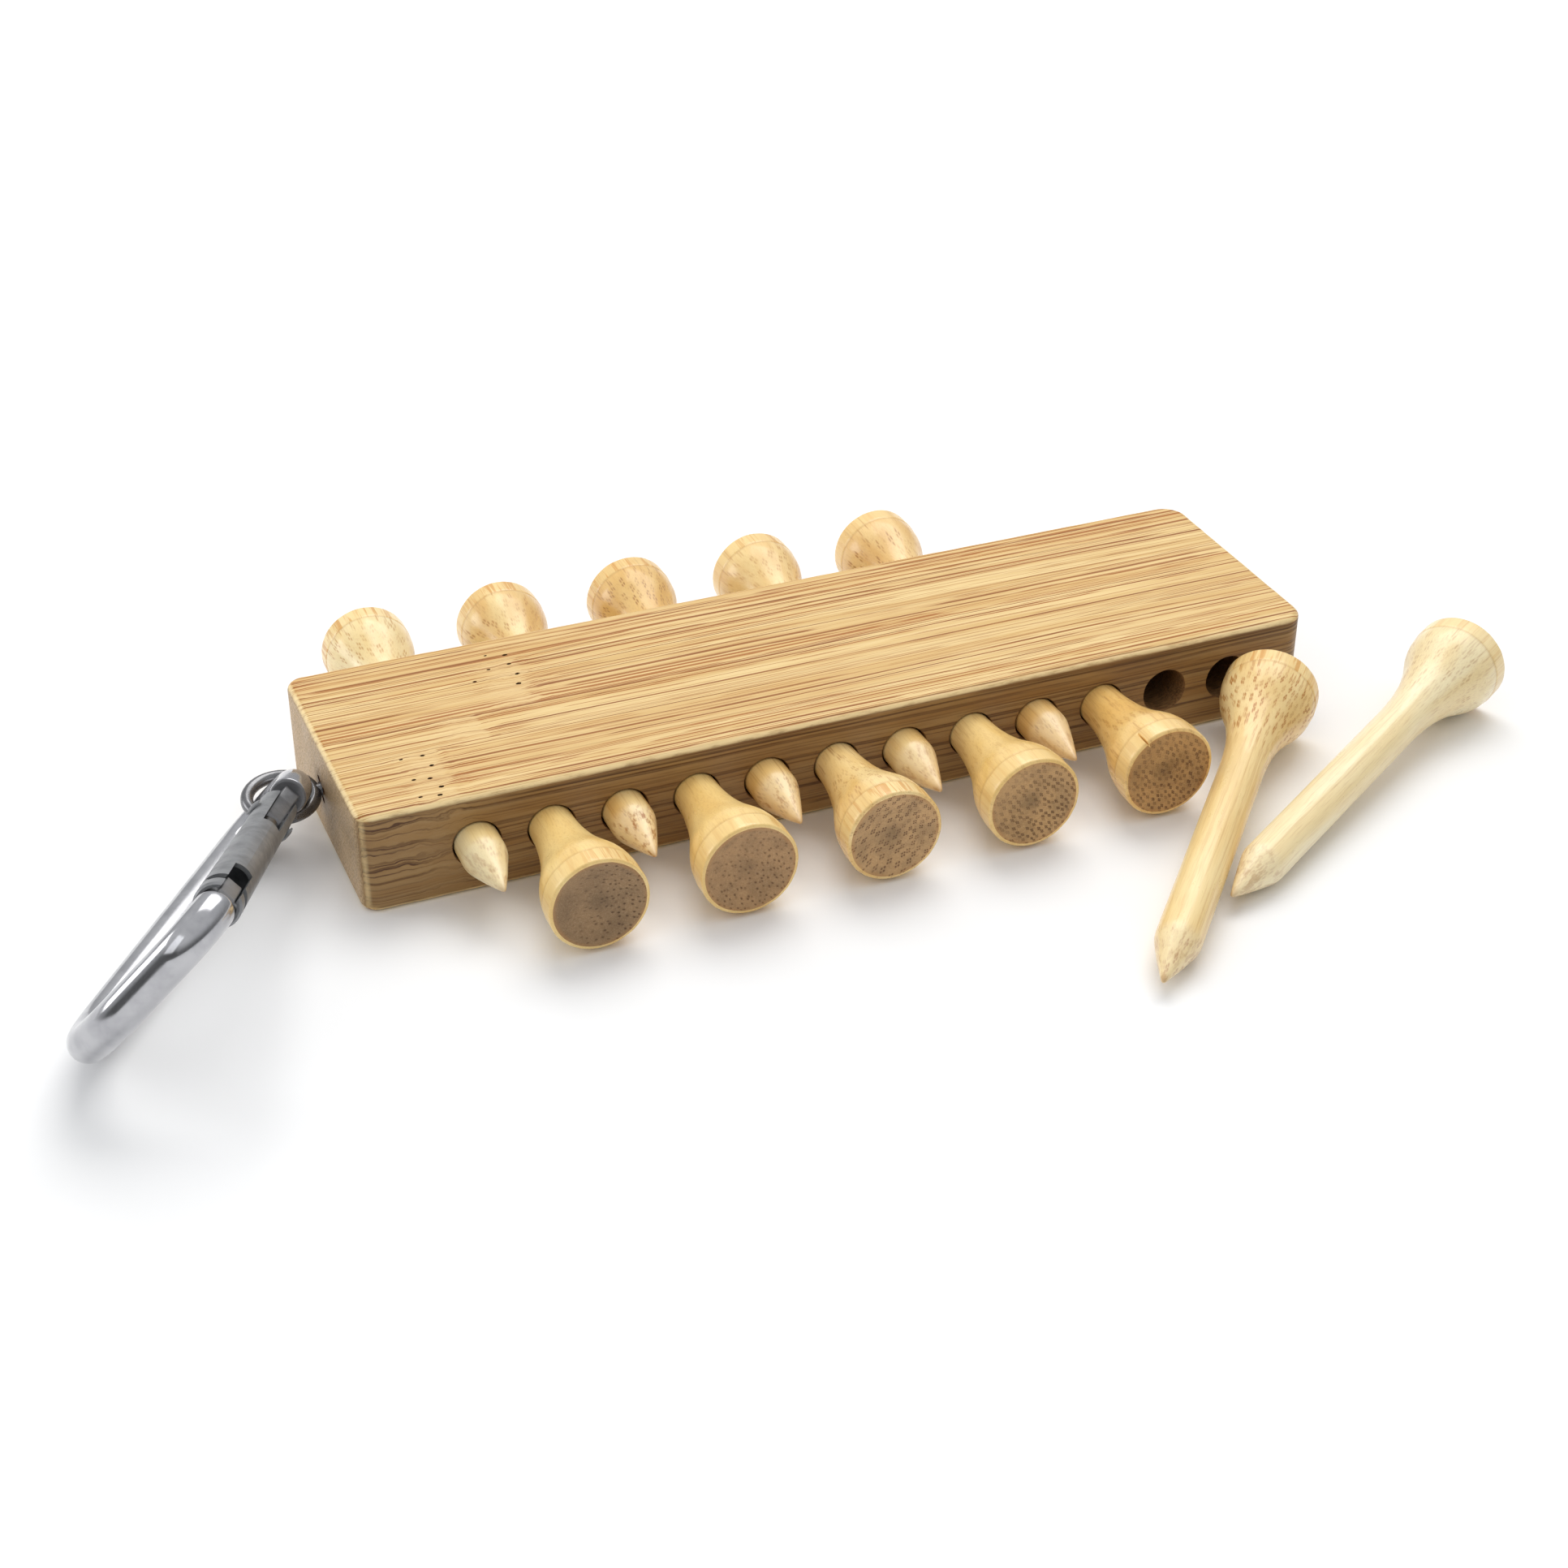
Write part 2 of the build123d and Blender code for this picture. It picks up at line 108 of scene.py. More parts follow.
# ---------------------------------------------------------------------------
# node helpers
# ---------------------------------------------------------------------------
class Tree:
    def __init__(self, name):
        self.mat = bpy.data.materials.new(name)
        self.mat.use_nodes = True
        self.nt = self.mat.node_tree
        self.nt.nodes.clear()
        self.out = self.nt.nodes.new("ShaderNodeOutputMaterial")

    def put(self, socket, value):
        if isinstance(value, bpy.types.NodeSocket):
            self.nt.links.new(value, socket)
        elif value is not None:
            socket.default_value = value

    def add(self, kind, ins=None, **props):
        n = self.nt.nodes.new(kind)
        for k, v in props.items():
            setattr(n, k, v)
        for k, v in (ins or {}).items():
            self.put(n.inputs[k], v)
        return n

    def math(self, op, a, b=None, c=None, clamp=False):
        n = self.nt.nodes.new("ShaderNodeMath")
        n.operation, n.use_clamp = op, clamp
        for i, v in enumerate((a, b, c)):
            if v is not None:
                self.put(n.inputs[i], v)
        return n.outputs[0]

    def vmath(self, op, a, b=None, scale=None):
        n = self.nt.nodes.new("ShaderNodeVectorMath")
        n.operation = op
        self.put(n.inputs[0], a)
        if b is not None:
            self.put(n.inputs[1], b)
        if scale is not None:
            self.put(n.inputs["Scale"], scale)
        return n.outputs["Value"] if op in ("LENGTH", "DISTANCE", "DOT_PRODUCT") else n.outputs["Vector"]

    def ramp(self, x, a, b, lo=0.0, hi=1.0, smooth=True):
        n = self.nt.nodes.new("ShaderNodeMapRange")
        n.interpolation_type = "SMOOTHSTEP" if smooth else "LINEAR"
        for i, v in enumerate((x, a, b, lo, hi)):
            self.put(n.inputs[i], v)
        return n.outputs[0]

    def mix(self, fac, a, b, blend="MIX"):
        n = self.nt.nodes.new("ShaderNodeMix")
        n.data_type, n.blend_type = "RGBA", blend
        self.put(n.inputs[0], fac)
        self.put(n.inputs[6], a)
        self.put(n.inputs[7], b)
        return n.outputs[2]

    def xyz(self, x=0.0, y=0.0, z=0.0):
        return self.add("ShaderNodeCombineXYZ", {0: x, 1: y, 2: z}).outputs[0]

    def sep(self, v):
        n = self.add("ShaderNodeSeparateXYZ", {0: v})
        return n.outputs[0], n.outputs[1], n.outputs[2]

    def noise(self, v, scale=1.0, detail=2.0, rough=0.5, dist=0.0, dims="3D", out="Fac"):
        n = self.nt.nodes.new("ShaderNodeTexNoise")
        n.noise_dimensions = dims
        self.put(n.inputs["Vector"], v)
        n.inputs["Scale"].default_value = scale
        n.inputs["Detail"].default_value = detail
        n.inputs["Roughness"].default_value = rough
        n.inputs["Distortion"].default_value = dist
        return n.outputs[out]

    def steps(self, x, stops):
        """Constant-interpolation ramp: stops are (position, grey)."""
        n = self.nt.nodes.new("ShaderNodeValToRGB")
        cr = n.color_ramp
        cr.interpolation = "CONSTANT"
        while len(cr.elements) > 1:
            cr.elements.remove(cr.elements[-1])
        for i, (p, g) in enumerate(stops):
            e = cr.elements[0] if i == 0 else cr.elements.new(p)
            e.position = p
            e.color = (g, g, g, 1)
        self.put(n.inputs[0], x)
        return n.outputs[0]

    def rnd(self, x):
        """Three random numbers that belong to the value x."""
        n = self.add("ShaderNodeTexWhiteNoise", {"W": x}, noise_dimensions="1D")
        return self.sep(n.outputs["Color"])

    def tee_mm(self):
        """A tee's own millimetres: origin in the head's dish, Z along the shaft."""
        return self.add("ShaderNodeAttribute", attribute_name="tee_mm").outputs["Vector"]

    def mm(self, sx=1.0, sy=1.0, sz=1.0):
        tc = self.add("ShaderNodeTexCoord")
        m = self.add("ShaderNodeMapping", {"Vector": tc.outputs["Object"]}, vector_type="POINT")
        m.inputs["Scale"].default_value = (1000.0 * sx, 1000.0 * sy, 1000.0 * sz)
        return m.outputs[0]

    def stretch(self, v, s, shift=(0.0, 0.0, 0.0)):
        m = self.add("ShaderNodeMapping", {"Vector": v}, vector_type="POINT")
        m.inputs["Scale"].default_value = s
        m.inputs["Location"].default_value = shift
        return m.outputs[0]

    def bump(self, height, strength, distance, normal=None):
        n = self.add("ShaderNodeBump", {"Strength": strength, "Distance": distance, "Height": height})
        if normal is not None:
            self.put(n.inputs["Normal"], normal)
        return n.outputs[0]

    def shader(self, **ins):
        p = self.add("ShaderNodeBsdfPrincipled")
        names = {"color": "Base Color", "rough": "Roughness", "metal": "Metallic", "normal": "Normal",
                 "coat": "Coat Weight", "coat_rough": "Coat Roughness", "spec": "Specular IOR Level",
                 "aniso": "Anisotropic", "sss": "Subsurface Weight"}
        for k, v in ins.items():
            self.put(p.inputs[names[k]], v)
        self.nt.links.new(p.outputs[0], self.out.inputs[0])
        return self.mat


def lines(t, c, x, pitch, width, seed, keep, xfreq, jitter=0.38, gate=(0.42, 0.56)):
    """Thin streaks along X, one per cell of c, each with its own place, width, strength and broken length."""
    q = t.math("MULTIPLY_ADD", c, 1.0 / pitch, seed * 13.7 + 400.0)
    cell = t.math("FLOOR", q)
    r, g, b = t.rnd(t.math("ADD", cell, seed * 3.31))
    middle = t.math("MULTIPLY_ADD", t.math("SUBTRACT", r, 0.5), 2 * jitter, 0.5)
    d = t.math("MULTIPLY", t.math("ABSOLUTE", t.math("SUBTRACT", t.math("SUBTRACT", q, cell), middle)), pitch)
    w = t.math("MULTIPLY_ADD", g, width * 1.1, width * 0.5)
    body = t.ramp(d, t.math("MULTIPLY", w, 0.35), w, 1.0, 0.0)
    strength = t.ramp(b, 1.0 - keep, 1.0, 0.0, 1.0, smooth=False)
    strength = t.math("MULTIPLY", t.ramp(b, 1.0 - keep, 1.0 - keep + 0.06, 0.45, 1.0), t.ramp(strength, 0.0, 0.04))
    along = t.noise(t.xyz(t.math("MULTIPLY", x, xfreq), t.math("MULTIPLY", cell, 5.17), seed), 1.0, 2.0, 0.55, dims="2D")
    return t.math("MULTIPLY", t.math("MULTIPLY", body, strength), t.ramp(along, gate[0], gate[1]))


def bundles(t, u, v, pitch, shift, rnd=0.72, lobe=(0.19, 0.16), spot=(0.055, 0.135)):
    """Cut ends of bamboo's fibre bundles: four small spots round a pale middle, one group per cell.
    Returns spot mask, halo mask and a random number per bundle. u and v are millimetres across the fibres."""
    p = t.xyz(t.math("ADD", u, shift[0]), t.math("ADD", v, shift[1]))
    vor = t.add("ShaderNodeTexVoronoi", {"Vector": p}, voronoi_dimensions="2D", feature="F1")
    vor.inputs["Scale"].default_value = 1.0 / pitch
    vor.inputs["Randomness"].default_value = rnd
    off = t.vmath("SUBTRACT", p, vor.outputs["Position"])
    ox, oy, _ = t.sep(off)
    ax, ay = t.math("ABSOLUTE", ox), t.math("ABSOLUTE", oy)
    d1 = t.vmath("LENGTH", t.xyz(t.math("SUBTRACT", ax, lobe[0]), oy))
    d2 = t.vmath("LENGTH", t.xyz(ox, t.math("SUBTRACT", ay, lobe[1])))
    d = t.math("MINIMUM", d1, d2)
    s = t.ramp(d, spot[0], spot[1], 1.0, 0.0)
    halo = t.ramp(t.vmath("LENGTH", off), 0.2, 0.42, 1.0, 0.0)
    r, g, b = t.sep(vor.outputs["Color"])
    return s, halo, r


# ---------------------------------------------------------------------------
# materials: bamboo tees
# ---------------------------------------------------------------------------
def tee_materials(name, seed, head_r, roll=0.0, light=(250, 226, 170), deep=(240, 204, 132), streak=(176, 116, 52),
                  face=(226, 180, 124), face_dark=(104, 70, 42), pitch=1.0, grad=0.035, contrast=0.5,
                  freckle=0.75, mottle=0.3, face_spots=0.85, dense=(1.0, 0.0), fade=0.0, single=False):
    mats = []
    for part in ("body", "face"):
        t = Tree(f"{name}_{part}")
        P = t.tee_mm()
        x, y, z = t.sep(P)
        warp = t.noise(t.stretch(P, (0.16, 0.16, 0.035), (seed * 3.1, seed * 1.7, seed)), 1.0, 2.0, out="Color")
        wx, wy, _ = t.sep(t.vmath("SUBTRACT", warp, (0.5, 0.5, 0.5)))
        xw = t.math("MULTIPLY_ADD", wx, 1.1, x)
        yw = t.math("MULTIPLY_ADD", wy, 1.1, y)
        c, s = math.cos(roll), math.sin(roll)
        xr = t.math("ADD", t.math("MULTIPLY", xw, c), t.math("MULTIPLY", yw, s))
        yr = t.math("SUBTRACT", t.math("MULTIPLY", yw, c), t.math("MULTIPLY", xw, s))
        u = t.math("MULTIPLY", xr, t.math("MULTIPLY_ADD", xr, grad, 1.0))
        v = t.math("MULTIPLY", yr, t.math("MULTIPLY_ADD", xr, grad * 0.8, 1.12))
        if single and part == "face":
            u, v = t.math("MULTIPLY", u, 1.25), t.math("MULTIPLY", v, 1.25)
        big = (0.24, 0.17) if pitch > 0.88 else (0.19, 0.12)
        if single and part == "face":
            big = (0.085, 0.045)
        spot, halo, rnd = bundles(t, u, v, pitch, (seed * 7.37 + 20, seed * 3.91 + 20), rnd=0.88 if single and part == "face" else 0.55, lobe=big,
                                  spot=(0.04, 0.17) if single and part == "face" else (0.05, 0.15))
        side = t.math("MULTIPLY_ADD", xr, 1.0 / (2 * head_r), 0.5)     # 1 on the dense side
        radius = t.vmath("LENGTH", t.xyz(x, y))
        along = t.noise(t.stretch(P, (0.9, 0.9, 0.13), (seed, 2 * seed, 3 * seed)), 1.0, 3.0, 0.55)
        broad = t.noise(t.stretch(P, (0.30, 0.30, 0.045), (4 * seed, seed, seed)), 1.0, 2.0)
        fine = t.noise(t.stretch(P, (7.0, 7.0, 0.30), (seed, seed, 0)), 1.0, 2.0, 0.6)
        if part == "body":
            base = t.mix(t.ramp(broad, 0.34, 0.66), srgb(*light), srgb(*deep))
            base = t.mix(t.math("MULTIPLY", t.ramp(fine, 0.45, 0.8), 0.26), base, srgb(*streak))
            # bundles cut lengthwise on the shaft, slantwise on the flare and the point
            amount = t.math("MULTIPLY", t.ramp(along, 0.32, 0.60, 0.30, 1.0), t.ramp(rnd, 0.0, 0.7, 0.45, 1.0))
            shaft = t.math("MULTIPLY", t.ramp(z, 11.0, 17.0), t.ramp(z, 47.6, 49.0, 1.0, 0.0))
            weight = t.math("MULTIPLY_ADD", shaft, contrast * 0.62 - freckle, freckle)
            both = t.math("ADD", t.math("MULTIPLY", spot, 0.95), t.math("MULTIPLY", halo, 0.12), clamp=True)
            mask = t.math("MULTIPLY", t.math("MULTIPLY", both, amount), weight, clamp=True)
            col = t.mix(mask, base, srgb(*streak))
            # the turned rim: paler, with short axial dashes, and a brown line where the flare starts
            rim = t.math("MULTIPLY", t.ramp(z, 0.05, 0.3), t.ramp(z, 2.25, 2.45, 1.0, 0.0))
            col = t.mix(t.math("MULTIPLY", rim, 0.45), col, srgb(250, 218, 150))
            dash = t.noise(t.stretch(P, (1.9, 1.9, 0.10), (seed * 2, seed, seed)), 1.0, 3.0, 0.62)
            dash = t.math("MULTIPLY", t.ramp(dash, 0.50, 0.60), t.ramp(side, 0.1, 0.75, 0.25, 1.0))
            col = t.mix(t.math("MULTIPLY", t.math("MULTIPLY", dash, rim), 0.72), col, srgb(214, 150, 62))
            crease = t.math("MULTIPLY", t.ramp(z, 2.18, 2.34), t.ramp(z, 2.40, 2.75, 1.0, 0.0))
            col = t.mix(t.math("MULTIPLY", crease, 0.24), col, srgb(176, 124, 60))
            # painted highlight: a pale line along the head's outer lip
            lip_highlight = t.ramp(z, 0.26, 0.10)
            col = t.mix(t.math("MULTIPLY", lip_highlight, 0.14), col, srgb(252, 222, 156))
            # the point: a painted highlight makes it paler, and it is slightly stained
            tip = t.ramp(z, 47.3, 49.4)
            blot = t.noise(t.stretch(P, (1.1, 1.1, 0.42), (seed * 5, seed, seed)), 1.0, 4.0, 0.62)
            # painted highlight: the point is mixed towards near-white
            col = t.mix(t.math("MULTIPLY", tip, 0.35), col, srgb(255, 242, 206))
            col = t.mix(t.math("MULTIPLY", t.math("MULTIPLY", tip, t.ramp(blot, 0.49, 0.64)), mottle), col, srgb(176, 118, 56))
            col = t.mix(t.math("MULTIPLY", t.ramp(z, 53.6, 55.0), 0.45), col, srgb(170, 122, 70))
            grime = t.noise(t.stretch(P, (0.5, 0.5, 0.2), (seed, seed * 3, seed)), 1.0, 5.0, 0.65)
            col = t.mix(t.math("MULTIPLY", t.ramp(grime, 0.55, 0.8), 0.14), col, srgb(160, 112, 60))
            height = t.math("SUBTRACT", t.math("MULTIPLY", fine, 0.5), t.math("MULTIPLY", mask, 0.8))
            nrm = t.bump(height, 0.35, 0.00008)
            rough = t.math("ADD", t.ramp(grime, 0.3, 0.75, 0.26, 0.44), t.math("MULTIPLY", mask, 0.10))
            mats.append(t.shader(color=col, rough=rough, normal=nrm, coat=0.38, coat_rough=0.16, spec=0.42))
        else:
            speck = t.noise(t.stretch(P, (6.0, 6.0, 1.0), (seed, seed, 0)), 1.0, 3.0, 0.65)
            cloud = t.noise(t.stretch(P, (0.35, 0.35, 0.2), (seed, seed * 2, 0)), 1.0, 3.0, 0.6)
            base = t.mix(t.ramp(cloud, 0.35, 0.68), srgb(*face), srgb(*[c * 0.88 for c in face]))
            base = t.mix(t.math("MULTIPLY", t.ramp(speck, 0.5, 0.75), 0.30), base, srgb(*face_dark))
            base = t.mix(t.math("MULTIPLY", t.ramp(speck, 0.5, 0.25), 0.16), base, srgb(246, 218, 170))
            amount = t.math("MULTIPLY", t.ramp(rnd, 0.0, 0.6, 0.55, 1.0), t.ramp(side, 0.05, 0.75, 1.0 - fade, 1.0))
            mask = t.math("MULTIPLY", t.math("ADD", t.math("MULTIPLY", spot, 0.92), t.math("MULTIPLY", halo, 0.10), clamp=True), amount)
            col = t.mix(t.math("MULTIPLY", mask, face_spots), base, srgb(*face_dark))
            centre = t.ramp(radius, 0.2, 1.8, 0.45, 0.0)
            col = t.mix(centre, col, srgb(*[c * 0.58 for c in face]))
            rings = t.math("SINE", t.math("MULTIPLY", radius, 21.0))
            edge = t.ramp(t.math("MULTIPLY_ADD", t.math("SUBTRACT", cloud, 0.5), 1.2, radius), head_r - 0.95, head_r - 0.28)
            col = t.mix(t.math("MULTIPLY", edge, 0.30), col, srgb(214, 150, 84))
            height = t.math("SUBTRACT", t.math("MULTIPLY_ADD", rings, 0.10, t.math("MULTIPLY", speck, 0.5)), t.math("MULTIPLY", mask, 1.0))
            nrm = t.bump(height, 0.5, 0.00010)
            mats.append(t.shader(color=col, rough=0.58, normal=nrm, coat=0.05, coat_rough=0.3, spec=0.32))
    return mats


# ---------------------------------------------------------------------------
# tees
# ---------------------------------------------------------------------------
NECK = [(2.33, 0.994), (3.4, 0.972), (4.5, 0.925), (5.5, 0.858), (6.5, 0.784), (7.5, 0.714), (8.5, 0.655), (9.5, 0.606),
        (10.5, 0.565), (11.5, 0.531), (12.5, 0.503), (13.5, 0.482), (14.6, 0.468)]
SHAFT, LENGTH = 2.49, 55.0


def tee_profile(R):
    """(distance from the head, radius, face?) from the middle of the dish to the point, in millimetres."""
    rows = []
    for r in (0.05, 0.16, 0.30, 0.45, 0.62, 0.85, 1.15, 1.5, 1.9, 2.3, 2.7, 3.1, 3.5, 3.9, 4.25):
        if r < R - 0.75:
            k = r / (R - 0.55)
            zz = 0.55 * (1 - smoothstep(0.50, 1.0, k)) - 0.10 * math.exp(-(r / 0.33) ** 2) + 0.05 * math.exp(-((r - 0.75) / 0.3) ** 2)
            rows.append((zz, r, 1))
    for r in (R - 0.72, R - 0.55, R - 0.40):
        k = min(1.0, r / (R - 0.55))
        rows.append((0.55 * (1 - float(smoothstep(0.50, 1.0, k))), r, 1))
    for i in range(0, 6):
        a = math.pi / 2 * i / 5
        rows.append((0.27 - 0.27 * math.cos(a), R - 0.27 + 0.27 * math.sin(a), 0))
    for zz in (0.7, 1.1, 1.5, 1.85, 2.08):
        rows.append((zz, R, 0))
    rows += [(2.20, R - 0.015, 0), (2.28, R - 0.055, 0), (2.35, R - 0.075, 0), (2.45, R - 0.07, 0)]
    pts = [(2.6, 0.9868 * R)] + [(d, f * R) for d, f in NECK[1:]] + [(17.2, SHAFT), (19.0, SHAFT)]
    d = np.array([p[0] for p in pts]); r = np.array([p[1] for p in pts])
    slope = np.gradient(r, d)
    slope[-1] = slope[-2] = 0.0
    for zz in np.arange(2.6, 19.0, 0.4):
        i = min(int(np.searchsorted(d, zz, side="right")) - 1, len(d) - 2)
        h = d[i + 1] - d[i]; q = (zz - d[i]) / h
        val = ((2 * q ** 3 - 3 * q ** 2 + 1) * r[i] + (q ** 3 - 2 * q ** 2 + q) * h * slope[i]
               + (-2 * q ** 3 + 3 * q ** 2) * r[i + 1] + (q ** 3 - q ** 2) * h * slope[i + 1])
        rows.append((float(zz), float(val), 0))
    for zz in np.arange(19.4, LENGTH - 7.3, 0.9):
        rows.append((float(zz), SHAFT, 0))
    t0 = LENGTH - 6.3
    rows += [(t0 - 0.9, SHAFT, 0), (t0 - 0.55, SHAFT - 0.012, 0), (t0 - 0.2, SHAFT - 0.055, 0), (t0 + 0.15, SHAFT - 0.13, 0),
             (t0 + 0.5, SHAFT - 0.235, 0)]
    z1, r1 = t0 + 0.85, SHAFT - 0.345
    for i in range(0, 13):
        k = i / 12
        bow = 0.05 * math.sin(math.pi * k)
        rows.append((z1 + (LENGTH - 0.28 - z1) * k, r1 + (0.30 - r1) * k + bow, 0))
    rows += [(LENGTH - 0.13, 0.215, 0), (LENGTH - 0.04, 0.125, 0), (LENGTH, 0.04, 0)]
    return rows


def build_tee(name, node, body, head, axis, R, seed, crack=None, dents=(), **look):
    rows = tee_profile(R)
    seg = 128
    ang = [2 * math.pi * i / seg for i in range(seg)]
    if crack is not None:
        a0, z_end = crack
        ang = sorted([a for a in ang if abs(math.remainder(a - a0, 2 * math.pi)) > 0.055]
                     + [(a0 + k) % (2 * math.pi) for k in (-0.05, -0.024, -0.010, 0.0, 0.010, 0.024, 0.05)])
        seg = len(ang)
    verts, faces, slots = [], [], []
    off = Vector((seed * 11.3, seed * 5.1, seed * 2.7))
    for zz, rr, f in rows:
        for a in ang:
            ca, sa = math.cos(a), math.sin(a)
            n1 = noise.noise(Vector((ca * 1.3, sa * 1.3, zz * 0.16)) + off)
            n2 = noise.noise(Vector((ca * rr * 1.1, sa * rr * 1.1, zz * 0.9)) + off * 1.7)
            shaft = zz > 14.5
            amp = 0.012 if shaft else 0.035
            r = rr + (amp * n1 + (0.008 if shaft else 0.016) * n2) * min(1.0, rr / 1.0) - (0.012 if shaft else 0.02)
            z = zz
            if 0.0 <= zz < 0.3 and rr > R - 0.6:      # worn outer lip
                w = noise.noise(Vector((ca * 5.0, sa * 5.0, seed * 3.3)))
                z += 0.05 * max(0.0, w)
            if f:
                z += 0.02 * noise.noise(Vector((ca * rr, sa * rr, 1.0)) + off)
            for da, dz, dr, dd in dents:
                q = (math.remainder(a - da, 2 * math.pi) * rr / dr) ** 2 + ((zz - dz) / dr) ** 2
                if q < 4:
                    r -= dd * math.exp(-q * 1.6)
            if crack is not None and rr > R - 1.1 and zz < z_end:
                q = abs(math.remainder(a - a0, 2 * math.pi))
                if q < 0.023:
                    depth = 0.5 * (1 - (zz / z_end) ** 3)
                    r -= depth * (1 - q / 0.024)
            r = max(r, 0.02)
            verts.append((r * ca, r * sa, z))
    n = len(rows)
    c0 = len(verts); verts.append((0, 0, rows[0][0] - 0.004))
    c1 = len(verts); verts.append((0, 0, LENGTH + 0.005))
    for i in range(n - 1):
        f = 1 if (rows[i][2] and rows[i + 1][2]) else 0
        for j in range(seg):
            k = (j + 1) % seg
            faces.append((i * seg + j, i * seg + k, (i + 1) * seg + k, (i + 1) * seg + j))
            slots.append(f)
    for j in range(seg):
        k = (j + 1) % seg
        faces.append((c0, k, j)); slots.append(1)
        faces.append((c1, (n - 1) * seg + j, (n - 1) * seg + k)); slots.append(0)
    ez = Vector(axis).normalized()
    ex = Vector((0, 0, 1)).cross(ez).normalized()
    ey = ez.cross(ex)
    place = frame_matrix(head, ex, ey, ez)
    ob = new_object(name, [place @ (Vector(v) * MM) for v in verts], faces, None, slots)
    own = ob.data.attributes.new("tee_mm", "FLOAT_VECTOR", "POINT")
    own.data.foreach_set("vector", np.array(verts, dtype=np.float32).ravel())
    for m in tee_materials("bamboo_" + name, seed, R, **look):
        ob.data.materials.append(m)
    sharpen(ob, 50)
    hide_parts(node)
    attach(ob, body)
    return ob


# local x of a block tee is horizontal and local y is +-Z, so a roll of 0 puts the dense side level
looks = {
    1: dict(seed=1.3, roll=2.6, mottle=0.30, light=(252, 232, 180), deep=(244, 214, 148), contrast=0.35, freckle=0.72, streak=(198, 146, 78)),
    2: dict(seed=2.1, roll=3.14 + 0.15, pitch=1.0, grad=0.02, single=True, face=(162, 130, 94), face_dark=(88, 62, 38), contrast=0.25,
            freckle=0.12, fade=0.90, light=(250, 218, 146), deep=(240, 200, 122)),
    3: dict(seed=3.7, roll=0.6, mottle=0.95, contrast=0.7, freckle=0.78, streak=(188, 132, 66), light=(246, 216, 152), deep=(230, 186, 112)),
    4: dict(seed=4.2, roll=3.14 + 0.9, pitch=0.9, grad=0.02, single=True, face=(184, 145, 102), face_dark=(104, 72, 44), contrast=0.35,
            freckle=0.15, fade=0.55, face_spots=0.75, light=(250, 216, 142), deep=(240, 200, 122)),
    5: dict(seed=5.9, roll=1.2, mottle=0.65, contrast=0.9, freckle=0.85, streak=(176, 122, 58), light=(242, 204, 134), deep=(228, 182, 104)),
    6: dict(seed=6.4, roll=2.4, pitch=0.98, grad=0.045, face=(204, 164, 116), face_dark=(98, 64, 40), contrast=0.8, freckle=0.55,
            fade=0.15, light=(250, 220, 156), deep=(238, 196, 120)),
    7: dict(seed=7.2, roll=0.2, mottle=0.4, contrast=0.6, freckle=0.70, streak=(196, 142, 74), light=(248, 218, 154), deep=(234, 192, 120)),
    8: dict(seed=8.8, roll=3.14 + 0.8, pitch=0.80, grad=0.045, face=(200, 160, 110), face_dark=(96, 64, 38), contrast=0.35,
            freckle=0.25, fade=0.6, light=(250, 216, 146), deep=(240, 200, 120)),
    9: dict(seed=9.5, roll=5.0, mottle=0.3, contrast=0.8, freckle=0.88, streak=(184, 128, 62), light=(246, 210, 144), deep=(232, 186, 112)),
    10: dict(seed=10.7, roll=3.14 + 1.0, pitch=0.80, grad=0.045, face=(200, 156, 102), face_dark=(96, 62, 36), contrast=0.5,
             freckle=0.45, fade=0.5, light=(250, 214, 142), deep=(236, 190, 110)),
}
for i in range(1, 11):
    node = f"tee_{i:02d}"
    lo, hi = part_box(node)
    cx, cz = (lo.x + hi.x) / 2 / MM, (lo.z + hi.z) / 2 / MM
    R = (hi.x - lo.x) / 2 / MM
    if i % 2:
        head, axis = (cx, hi.y / MM, cz), (0, -1, 0)
    else:
        head, axis = (cx, lo.y / MM, cz), (0, 1, 0)
    extra = {}
    if i == 10:
        extra["crack"] = (0.97, 2.25)
    if i == 6:
        extra["dents"] = ((1.75, 8.3, 0.30, 0.16), (1.62, 9.1, 0.36, 0.20), (1.72, 7.4, 0.22, 0.10))
    build_tee(f"tee_{i:02d}_turned", node, node, head, axis, R, **extra, **looks[i])

HEAD_LOOSE = 5.55
slope = math.atan((HEAD_LOOSE - SHAFT) / (LENGTH - 2.33 - 6.3))
tip_z = SHAFT * math.cos(slope) - 6.3 * math.sin(slope) + 0.02
loose_looks = {
    "loose_tee_1": dict(seed=12.4, roll=1.0, pitch=0.78, grad=0.05, contrast=0.45, freckle=1.0, mottle=0.4,
                        light=(250, 224, 164), deep=(240, 206, 138), streak=(190, 130, 62)),
    "loose_tee_2": dict(seed=13.9, roll=4.2, pitch=0.9, grad=0.03, contrast=0.3, freckle=0.40, mottle=0.4,
                        light=(252, 236, 192), deep=(248, 224, 170)),
}
for name, (tx, ty), heading in (("loose_tee_1", (13.25, -60.35), 47.66), ("loose_tee_2", (27.35, -49.95), 30.33)):
    h = math.radians(heading)
    d = Vector((math.cos(slope) * math.cos(h), math.cos(slope) * math.sin(h), math.sin(slope)))
    head = Vector((tx, ty, tip_z)) + d * LENGTH
    build_tee(name + "_turned", name, name, head, -d, HEAD_LOOSE, **loose_looks[name])


